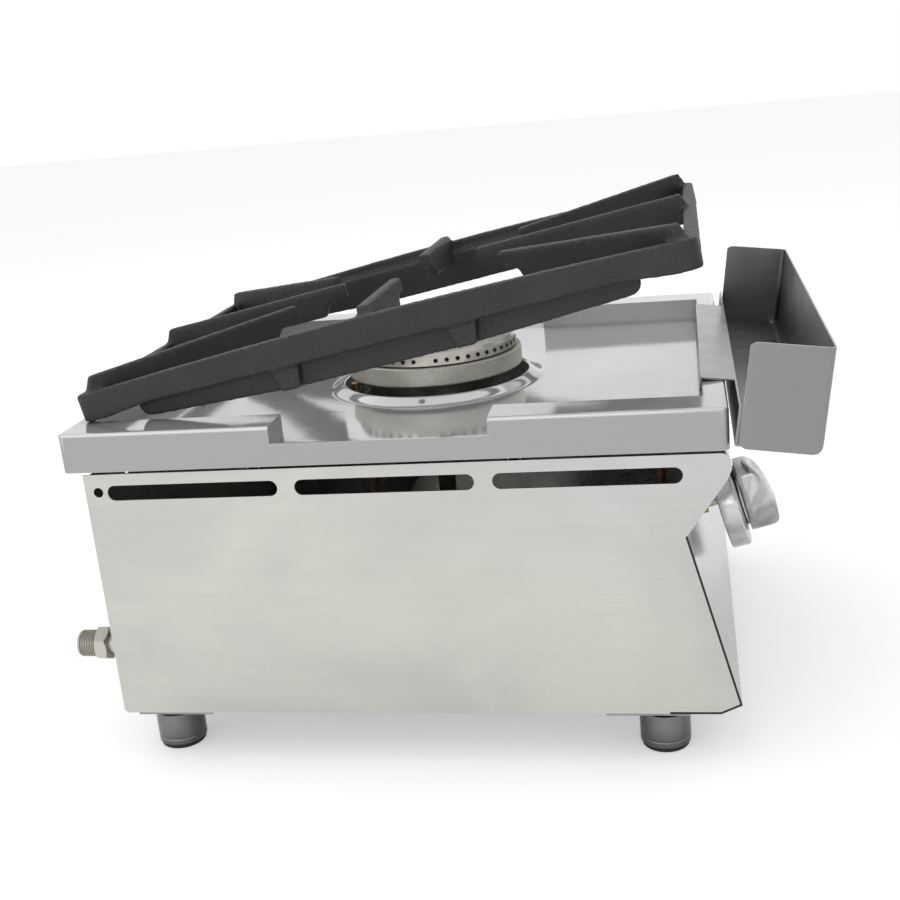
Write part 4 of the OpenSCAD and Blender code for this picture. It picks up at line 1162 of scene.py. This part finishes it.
@dataclass
class Burner:
    """Cast base, drilled crown, mixing tube and pilot group."""

    finishes: Finishes
    port_places: int = 48
    ports_radius: float = 85.6 * MM
    ports_fall: float = 8.6 * MM
    rim_radius: float = 1.95 * MM
    rim_wire: float = 0.35 * MM
    base_depth: float = 88.0 * MM
    base_round: float = 1.2 * MM

    def build(self) -> None:
        """Builds and dresses every piece of the burner."""
        self.base()
        self.crown()
        rows = [("burner_strap", "burner_bracket", "inner_steel", 0.25 * MM),
                ("square_post", "mixer_post", "dark_steel", 0.6 * MM),
                ("mixing_tube", "venturi", "mixer_iron", 0.0),
                ("jet", "injector", "brass", 0.3 * MM),
                ("pilot_shelf", "pilot_holder", "inner_steel", 0.2 * MM),
                ("pilot_burner", "pilot", "brass", 0.3 * MM),
                ("flame_sensor", "thermocouple", "steel_rod", 0.3 * MM)]
        for name, node, slot, edge in rows:
            dressed_copy(name, node, "housing", slot, self.finishes, edge)
        dressed_copy("shutter_cap", "air_shutter", "shutter", "inner_steel", self.finishes)

    def base(self) -> None:
        """Builds the cast base as one turned shape: throat, cone, band and the seat of the crown."""
        low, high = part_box("burner_base")
        centre = (low + high) / 2
        throat = [(19.0, -88.0), (22.0, -88.0), (22.0, -76.0), (36.0, -76.0), (40.0, -71.0)]
        cone = [(66.0, -32.5), (76.0, -20.5)]
        band = [(89.0, -20.5), (91.0, -18.5), (91.0, -1.0), (90.0, 0.0)]
        seat = [(78.0, 0.0), (78.0, -9.0), (72.0, -9.0)]
        bowl = [(60.0, -26.5), (34.0, -66.0), (19.0, -72.0)]
        stretch = (high.z - low.z) / self.base_depth
        section = [(r * MM, high.z + z * MM * stretch) for r, z in throat + cone + band + seat + bowl]
        work = bmesh.new()
        revolve(work, eased(section, self.base_round, closed=True),
                Matrix.Translation((centre.x, centre.y, 0.0)), 160)
        piece = closed_piece("cast_base", work, 40.0)
        settle(piece, "housing", "base_iron", self.finishes, ["burner_base"])

    def crown(self) -> None:
        """Builds the crown from its CAD shape and sets a burnt rim round each port."""
        dressed_copy("drilled_crown", "burner_crown", "crown", "crown_steel", self.finishes, angle=28.0)
        low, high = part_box("burner_crown")
        centre = (low + high) / 2
        quarter = self.port_places // 4
        rings = RingCopies("port_rims", self.port_places, self.rim_radius, self.rim_wire,
                           self.ports_radius, leave_out=quarter,
                           turn=math.radians(180.0 / self.port_places - 90.0))
        mesh = rings.build(self.finishes.by_slot["dark_steel"])
        mesh.transform(Matrix.Translation((centre.x, centre.y, high.z - self.ports_fall)))
        piece = add_object("port_rims", mesh)
        smooth_by_angle(piece, 60.0)
        settle(piece, "crown", "dark_steel", self.finishes, [])


@dataclass
class GasWay:
    """Pipe, inlet, valve and the small lines."""

    finishes: Finishes
    nut_bore: float = 9.0 * MM
    sharp: float = 38.0

    def build(self) -> None:
        """Builds and dresses every piece of the gas way."""
        for name, node, slot in (("gas_pipe", "supply_pipe", "zinc"),
                                 ("threaded_inlet", "inlet_nipple", "zinc"),
                                 ("gas_valve", "valve_body", "brass"),
                                 ("jet_line", "valve_outlet", "copper"),
                                 ("pilot_line", "pilot_tube", "copper"),
                                 ("sensor_lead", "thermocouple_tube", "copper")):
            dressed_copy(name, node, "housing", slot, self.finishes, angle=self.sharp)
        self.nut()

    def nut(self) -> None:
        """Builds the six-sided nut with chamfered corners."""
        low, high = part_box("inlet_nut")
        centre = (low + high) / 2
        place = axis_frame(Vector((centre.x, low.y, centre.z)), Vector((0.0, 1.0, 0.0)))
        work = bmesh.new()
        six_sided(work, place, (high.z - low.z) / 2, high.y - low.y, self.nut_bore)
        piece = closed_piece("six_sided_nut", work, 25.0)
        settle(piece, "housing", "zinc", self.finishes, ["inlet_nut"])


@dataclass
class Knob:
    """Knob of three turned and moulded parts on its spindle."""

    finishes: Finishes
    lean: float = math.radians(14.7)
    base_radius: float = 52.0 * MM
    base_depth: float = 21.0 * MM
    cone: float = 2.0 * MM
    flange_radius: float = 32.0 * MM
    flange_depth: float = 3.0 * MM
    grip_half: float = 38.0 * MM
    grip_width: float = 46.0 * MM
    grip_out: float = 31.0 * MM
    bow_radius: float = 85.0 * MM
    bow_low: float = 15.4 * MM
    end_radius: float = 12.0 * MM
    corner: float = 16.0 * MM
    fillet: float = 4.0 * MM
    side_play: float = 0.4 * MM
    spindle_bore: float = 4.05 * MM
    bore_stop: float = 2.0 * MM
    hub_radius: float = 13.0 * MM
    hollow: float = 6.0 * MM
    rim_wall: float = 3.0 * MM
    cone_foot: float = 2.0 * MM
    base_round: float = 2.2 * MM
    bead_round: float = 0.9 * MM
    dish: float = 0.4 * MM
    steps: int = 144

    def build(self) -> None:
        """Builds and dresses the knob."""
        dressed_copy("spindle_rod", "valve_spindle", "knob", "steel_rod", self.finishes)
        dressed_copy("clip_ring", "spindle_clip", "press", "steel_rod", self.finishes)
        self.turned_parts()
        self.grip()

    def frame_at(self, out: float) -> Matrix:
        """Frame on the knob's axis, with its Z outward and its X across.

        Args:
            out: distance outward from the back of the knob's base.

        Returns:
            The frame.
        """
        axis = Vector((0.0, -math.cos(self.lean), math.sin(self.lean)))
        up = Vector((0.0, math.sin(self.lean), math.cos(self.lean)))
        across = up.cross(axis)
        origin = middle("knob_collar") + axis * (out - self.base_depth - self.flange_depth / 2)
        turn = Matrix((across, up, axis)).transposed().to_4x4()
        return Matrix.Translation(origin) @ turn

    def turned_parts(self) -> None:
        """Builds the wide base and the flange with its bead."""
        r, t = self.base_radius, self.base_depth
        wall = r - self.rim_wall
        profile = [(self.spindle_bore, t - self.bore_stop), (self.spindle_bore, 0.0), (self.hub_radius, 0.0),
                   (self.hub_radius, self.hollow), (wall, self.hollow), (wall, 0.0), (r, 0.0),
                   (r, t - self.cone), (self.flange_radius + self.cone_foot, t), (0.0, t)]
        full = eased(profile, self.base_round, steps=4)
        full.append((0.0, t - self.bore_stop))
        work = bmesh.new()
        revolve(work, full, self.frame_at(0.0), self.steps)
        settle(closed_piece("knob_disc", work, 40.0), "knob", "chrome", self.finishes, ["knob_base"])
        f, d = self.flange_radius, self.flange_depth
        bead = eased([(0.0, 0.0), (f - 1.2 * MM, 0.0), (f, 0.6 * MM), (f, d - 0.8 * MM), (f - 1.5 * MM, d),
                      (f - 4 * MM, d - self.dish), (0.0, d - self.dish)], self.bead_round, steps=4)
        work = bmesh.new()
        revolve(work, bead, self.frame_at(t), self.steps)
        settle(closed_piece("knob_flange", work, 40.0), "knob", "chrome", self.finishes, ["knob_collar"])

    def _outline(self) -> list[tuple[Vector, Vector]]:
        """Outline of the grip, seen along the knob's axis.

        Returns:
            Each point with its outward direction.
        """
        made = []
        steps = 14
        inner_x = self.grip_width / 2 - self.corner
        inner_y = self.grip_half - self.corner - self.side_play
        for quarter, (sx, sy) in enumerate(((1, 1), (-1, 1), (-1, -1), (1, -1))):
            for k in range(steps + 1):
                turn = math.pi / 2 * (quarter + k / steps)
                way = Vector((math.cos(turn), math.sin(turn)))
                made.append((Vector((sx * inner_x, sy * inner_y)) + way * self.corner, way))
        return made

    def _height(self, up: float) -> float:
        """Height of the grip's face.

        Args:
            up: place along the grip, from its lower to its upper end.

        Returns:
            Height above the flange.
        """
        bow = self.grip_out - self.bow_radius + math.sqrt(self.bow_radius ** 2 - (up + self.bow_low) ** 2)
        past = min(self.end_radius, max(0.0, abs(up) - self.grip_half + self.end_radius))
        end = self.grip_out - self.end_radius + math.sqrt(self.end_radius ** 2 - past ** 2)
        return min(bow, end)

    def grip(self) -> None:
        """Builds the grip from rings that follow its outline."""
        place = self.frame_at(self.base_depth + self.flange_depth - self.dish)
        outline = self._outline()

        def wall(inset: float, share: float) -> Callable[[Vector, Vector], Vector]:
            """Ring at a share of the height of the face's rounded edge."""
            return lambda spot, way: Vector((*(spot - way * inset),
                                             share * (self._height(spot.y) - self.fillet)))

        def edge(turn: float) -> Callable[[Vector, Vector], Vector]:
            """Ring on the rounded edge of the face."""
            def at(spot: Vector, way: Vector) -> Vector:
                moved = spot - way * self.fillet * (1 - math.cos(turn))
                return Vector((*moved, self._height(moved.y) - self.fillet * (1 - math.sin(turn))))
            return at

        def face(share: float) -> Callable[[Vector, Vector], Vector]:
            """Ring on the face, drawn in towards the middle."""
            def at(spot: Vector, way: Vector) -> Vector:
                moved = (spot - way * self.fillet) * share
                return Vector((*moved, self._height(moved.y)))
            return at

        levels = [wall(0.6 * MM, 0.0), wall(0.0, 0.08), wall(0.0, 0.4), wall(0.0, 0.7)]
        levels += [edge(math.pi / 2 * k / 8) for k in range(9)]
        levels += [face(s) for s in (0.93, 0.85, 0.76, 0.66, 0.54, 0.4, 0.24, 0.1)]
        work = bmesh.new()
        rings = [[work.verts.new(place @ level(spot, way)) for spot, way in outline] for level in levels]
        for low, high in zip(rings, rings[1:]):
            for k in range(len(outline)):
                n = (k + 1) % len(outline)
                work.faces.new((low[k], low[n], high[n], high[k]))
        top = work.verts.new(place @ Vector((0.0, 0.0, self._height(0.0))))
        foot = work.verts.new(place @ Vector((0.0, 0.0, 0.0)))
        for k in range(len(outline)):
            n = (k + 1) % len(outline)
            work.faces.new((rings[-1][k], rings[-1][n], top))
            work.faces.new((rings[0][n], rings[0][k], foot))
        piece = closed_piece("knob_handle", work, 50.0)
        settle(piece, "knob", "chrome", self.finishes, ["knob_grip"])


@dataclass
class Grate:
    """Cast grate with soft edges and an uneven skin."""

    finishes: Finishes
    voxel: float = 2.0 * MM
    rounds: int = 5
    pull: float = 0.5
    skin: float = 0.22 * MM
    lumps: float = 60.0
    lump_gain: float = 0.9
    lump_step: float = 2.0
    lump_layers: int = 3

    def build(self) -> None:
        """Builds the casting from its CAD shape."""
        work = merged("grate")
        piece = add_object("cast_grate", mesh_from("cast_grate", work))
        remesh = piece.modifiers.new("skin", "REMESH")
        remesh.mode = "VOXEL"
        remesh.voxel_size = self.voxel
        soft = piece.modifiers.new("soft", "SMOOTH")
        soft.factor = self.pull
        soft.iterations = self.rounds
        bake_modifiers(piece)
        ways = [vertex.normal.copy() for vertex in piece.data.vertices]
        spots = [vertex.co.copy() for vertex in piece.data.vertices]
        rises = [self.skin * noise.fractal(spot * self.lumps, self.lump_gain, self.lump_step,
                                           self.lump_layers) for spot in spots]
        moved = [spot + way * rise for spot, way, rise in zip(spots, ways, rises)]
        piece.data.vertices.foreach_set("co", [part for spot in moved for part in spot])
        piece.data.update()
        piece.data.shade_smooth()
        settle(piece, "grate", "grate_iron", self.finishes, ["grate"])


@dataclass
class Trough:
    """Front trough: folded walls, and the tray with its hook plate."""

    finishes: Finishes
    sharp: float = 35.0

    def build(self) -> None:
        """Builds and dresses the two sheets."""
        for name, node in (("trough_walls", "trough_shell"), ("trough_tray", "trough_floor")):
            dressed_copy(name, node, "trough", "trough_steel", self.finishes, angle=self.sharp)


@dataclass
class Feet:
    """Sleeves, pads and threaded studs."""

    finishes: Finishes
    radius: float = 23.5 * MM
    wall: float = 2.5 * MM
    cup: float = 9.0 * MM
    stud_radius: float = 5.0 * MM
    thread_step: float = 1.25 * MM
    nut_half: float = 8.0 * MM
    nut_height: float = 6.0 * MM
    edge: float = 1.0 * MM
    groove_low: float = 6.0 * MM
    groove_depth: float = 0.4 * MM
    sleeve_play: float = 0.05 * MM
    sleeve_round: float = 0.6 * MM
    thread_depth: float = 0.6 * MM
    nut_fall: float = 8.0 * MM
    nut_gap: float = 4.0 * MM
    places: tuple[str, ...] = ("front_left", "front_right", "back_left", "back_right")

    def build(self) -> None:
        """Builds and dresses the four feet."""
        for place in self.places:
            self.sleeve(place)
            self.pad(place)
        self.studs()

    def sleeve(self, place: str) -> None:
        """Builds one sleeve as a turned shape.

        Args:
            place: which foot it is.
        """
        low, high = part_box(f"foot_{place}")
        centre = (low + high) / 2
        r, bore, e = self.radius, self.stud_radius + self.sleeve_play, self.edge
        groove, waist = low.z + self.groove_low, r - self.groove_depth
        section = [(bore, low.z), (r - e, low.z), (r, low.z + e), (r, groove), (waist, groove + 0.6 * MM),
                   (waist, groove + 1.6 * MM), (r, groove + 2.2 * MM), (r, high.z - e), (r - e, high.z),
                   (r - self.wall, high.z), (r - self.wall, high.z - self.cup), (bore, high.z - self.cup)]
        work = bmesh.new()
        revolve(work, eased(section, self.sleeve_round, closed=True),
                Matrix.Translation((centre.x, centre.y, 0.0)))
        piece = closed_piece(f"sleeve_{place}", work, 40.0)
        settle(piece, f"{place}_foot", "foot_steel", self.finishes, [f"foot_{place}"])

    def pad(self, place: str) -> None:
        """Builds one rubber pad with two moulded ribs.

        Args:
            place: which foot it is.
        """
        low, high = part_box(f"pad_{place}")
        centre = (low + high) / 2
        r, t = (high.x - low.x) / 2, high.z - low.z
        section = [(0.0, 0.0), (r * 0.7, 0.0), (r * 0.72, 0.5 * MM), (r * 0.8, 0.5 * MM), (r * 0.82, 0.0),
                   (r - self.edge, 0.0), (r, self.edge), (r, t), (0.0, t)]
        work = bmesh.new()
        revolve(work, eased(section, 0.4 * MM), Matrix.Translation((centre.x, centre.y, low.z)), 72,
                closed=False)
        piece = closed_piece(f"rubber_{place}", work, 40.0)
        settle(piece, f"{place}_foot", "rubber", self.finishes, [f"pad_{place}"])

    def studs(self) -> None:
        """Builds the studs with their thread and the nuts on them."""
        low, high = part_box("foot_studs")
        work = bmesh.new()
        nut_top = high.z - self.nut_fall
        nut_low = [nut_top, nut_top - self.nut_gap - self.nut_height]
        r, e = self.stud_radius, self.edge
        for place in self.places:
            spot = middle(f"foot_{place}")
            turns = int((high.z - low.z - 2 * e) / self.thread_step)
            section: list[Point] = [(0.0, low.z), (r - e, low.z)]
            for k in range(turns):
                z = low.z + e + k * self.thread_step
                section += [(r - self.thread_depth, z), (r, z + self.thread_step / 2)]
            section += [(r - e, high.z), (0.0, high.z)]
            revolve(work, section, Matrix.Translation((spot.x, spot.y, 0.0)), 32, closed=False)
            for z in nut_low:
                six_sided(work, Matrix.Translation((spot.x, spot.y, z)), self.nut_half, self.nut_height,
                          r - self.thread_depth / 2)
        piece = closed_piece("threaded_studs", work, 25.0)
        settle(piece, "housing", "steel_rod", self.finishes, ["foot_studs"])


@dataclass
class Studio:
    """Floor, light and camera."""

    place: tuple[float, float, float] = (-1.2925, -0.2446, 0.6240)
    forward: tuple[float, float, float] = (0.939, 0.187, -0.288)
    right: tuple[float, float, float] = (0.168, -0.982, -0.090)
    lens: float = 50.98
    sensor: float = 36.0
    ambient: float = 0.62
    overhead: float = 0.66
    zenith: float = 0.4
    pale_from: float = 0.08
    pale_full: float = 0.35
    dim_from: float = 0.5
    dim_full: float = 0.85
    target: tuple[float, float, float] = (0.0, 0.0, 0.2)
    floor_half: float = 12.0
    floor_tone: float = 0.86
    floor_glow: float = 0.41
    floor_shine: float = 0.22

    def build(self) -> None:
        """Makes the whole studio."""
        self.camera()
        self.world()
        self.floor()
        self.lamp("over_soft", place=(0.3, 0.4, 2.6), size=4.0, power=24.0)
        self.lamp("side_soft", place=(-2.6, 0.9, 1.9), size=3.2, power=18.0)

    def camera(self) -> None:
        """Sets the camera at the photograph's viewing angle."""
        ahead = Vector(self.forward).normalized()
        right = Vector(self.right)
        right = (right - ahead * right.dot(ahead)).normalized()
        up = right.cross(ahead)
        data = bpy.data.cameras.new("view")
        data.lens, data.sensor_width, data.sensor_fit = self.lens, self.sensor, "HORIZONTAL"
        data.clip_start, data.clip_end = 0.05, 50.0
        camera = bpy.data.objects.new("view", data)
        bpy.context.scene.collection.objects.link(camera)
        turn = Matrix((right, up, -ahead)).transposed().to_4x4()
        camera.matrix_world = Matrix.Translation(self.place) @ turn
        bpy.context.scene.camera = camera

    def world(self) -> None:
        """Lights the scene evenly. What is seen of it is white at the horizon and pale grey overhead."""
        world = bpy.data.worlds.new("studio")
        bpy.context.scene.world = world
        world.use_nodes = True
        world.node_tree.nodes.clear()
        graph = Graph(world.node_tree)
        path = graph.add("ShaderNodeLightPath")
        seen = graph.math("MAXIMUM", path.outputs["Is Camera Ray"], path.outputs["Is Glossy Ray"])
        seen = graph.math("MAXIMUM", seen, path.outputs["Is Transmission Ray"])
        way = graph.feed(graph.add("ShaderNodeSeparateXYZ"),
                         Vector=graph.add("ShaderNodeTexCoord").outputs["Generated"])
        pale = graph.ramp(way.outputs["Z"], self.pale_from, self.pale_full, 1.0, self.overhead)
        dim = graph.ramp(way.outputs["Z"], self.dim_from, self.dim_full, 1.0, self.zenith)
        shown = graph.math("MULTIPLY", pale, dim)
        gain = graph.math("MULTIPLY", seen, graph.math("SUBTRACT", shown, self.ambient))
        strength = graph.math("ADD", gain, self.ambient)
        light = graph.feed(graph.add("ShaderNodeBackground"), Color=(1.0, 1.0, 1.0, 1.0), Strength=strength)
        graph.feed(graph.add("ShaderNodeOutputWorld"), Surface=light.outputs[0])

    def floor(self) -> None:
        """Lays the pale floor, which keeps the object's shadow and is clear from below."""
        half, tone = self.floor_half, self.floor_tone
        mesh = bpy.data.meshes.new("floor")
        mesh.from_pydata([(-half, -half, 0), (half, -half, 0), (half, half, 0), (-half, half, 0)], [],
                         [(0, 1, 2, 3)])
        floor = add_object("floor", mesh)
        material = bpy.data.materials.new("floor_white")
        material.use_nodes = True
        material.node_tree.nodes.clear()
        graph = Graph(material.node_tree)
        matt = graph.feed(graph.add("ShaderNodeBsdfDiffuse"), Color=(tone, tone, tone, 1.0))
        path = graph.add("ShaderNodeLightPath")
        seen = graph.math("ADD", graph.math("MULTIPLY", path.outputs["Is Camera Ray"], self.floor_glow),
                          graph.math("MULTIPLY", path.outputs["Is Glossy Ray"], self.floor_shine))
        glow = graph.feed(graph.add("ShaderNodeEmission"), Strength=seen)
        both = graph.feed(graph.add("ShaderNodeAddShader"), i0=matt.outputs[0], i1=glow.outputs[0])
        clear = graph.add("ShaderNodeBsdfTransparent")
        below = graph.add("ShaderNodeNewGeometry").outputs["Backfacing"]
        skin = graph.feed(graph.add("ShaderNodeMixShader"), i0=below, i1=both.outputs[0], i2=clear.outputs[0])
        graph.feed(graph.add("ShaderNodeOutputMaterial"), Surface=skin.outputs[0])
        floor.data.materials.append(material)

    def lamp(self, name: str, place: tuple[float, float, float], size: float, power: float) -> None:
        """Hangs one soft lamp that points at the object.

        Args:
            name: the lamp's name.
            place: where it hangs.
            size: length of its square side.
            power: its power in watts.
        """
        data = bpy.data.lights.new(name, "AREA")
        data.shape, data.size, data.energy = "SQUARE", size, power
        lamp = bpy.data.objects.new(name, data)
        bpy.context.scene.collection.objects.link(lamp)
        way = Vector(self.target) - Vector(place)
        lamp.matrix_world = Matrix.Translation(place) @ way.to_track_quat("-Z", "Y").to_matrix().to_4x4()


def main() -> None:
    """Builds the sub-assemblies in order, then the studio."""
    logging.basicConfig(level=logging.INFO, format="%(message)s")
    bpy.context.scene.view_settings.view_transform = "Standard"
    finishes = Finishes()
    for assembly in (Housing(finishes), Burner(finishes), GasWay(finishes), Knob(finishes), Grate(finishes),
                     Trough(finishes), Feet(finishes), Studio()):
        assembly.build()


if __name__ == "__main__":
    main()
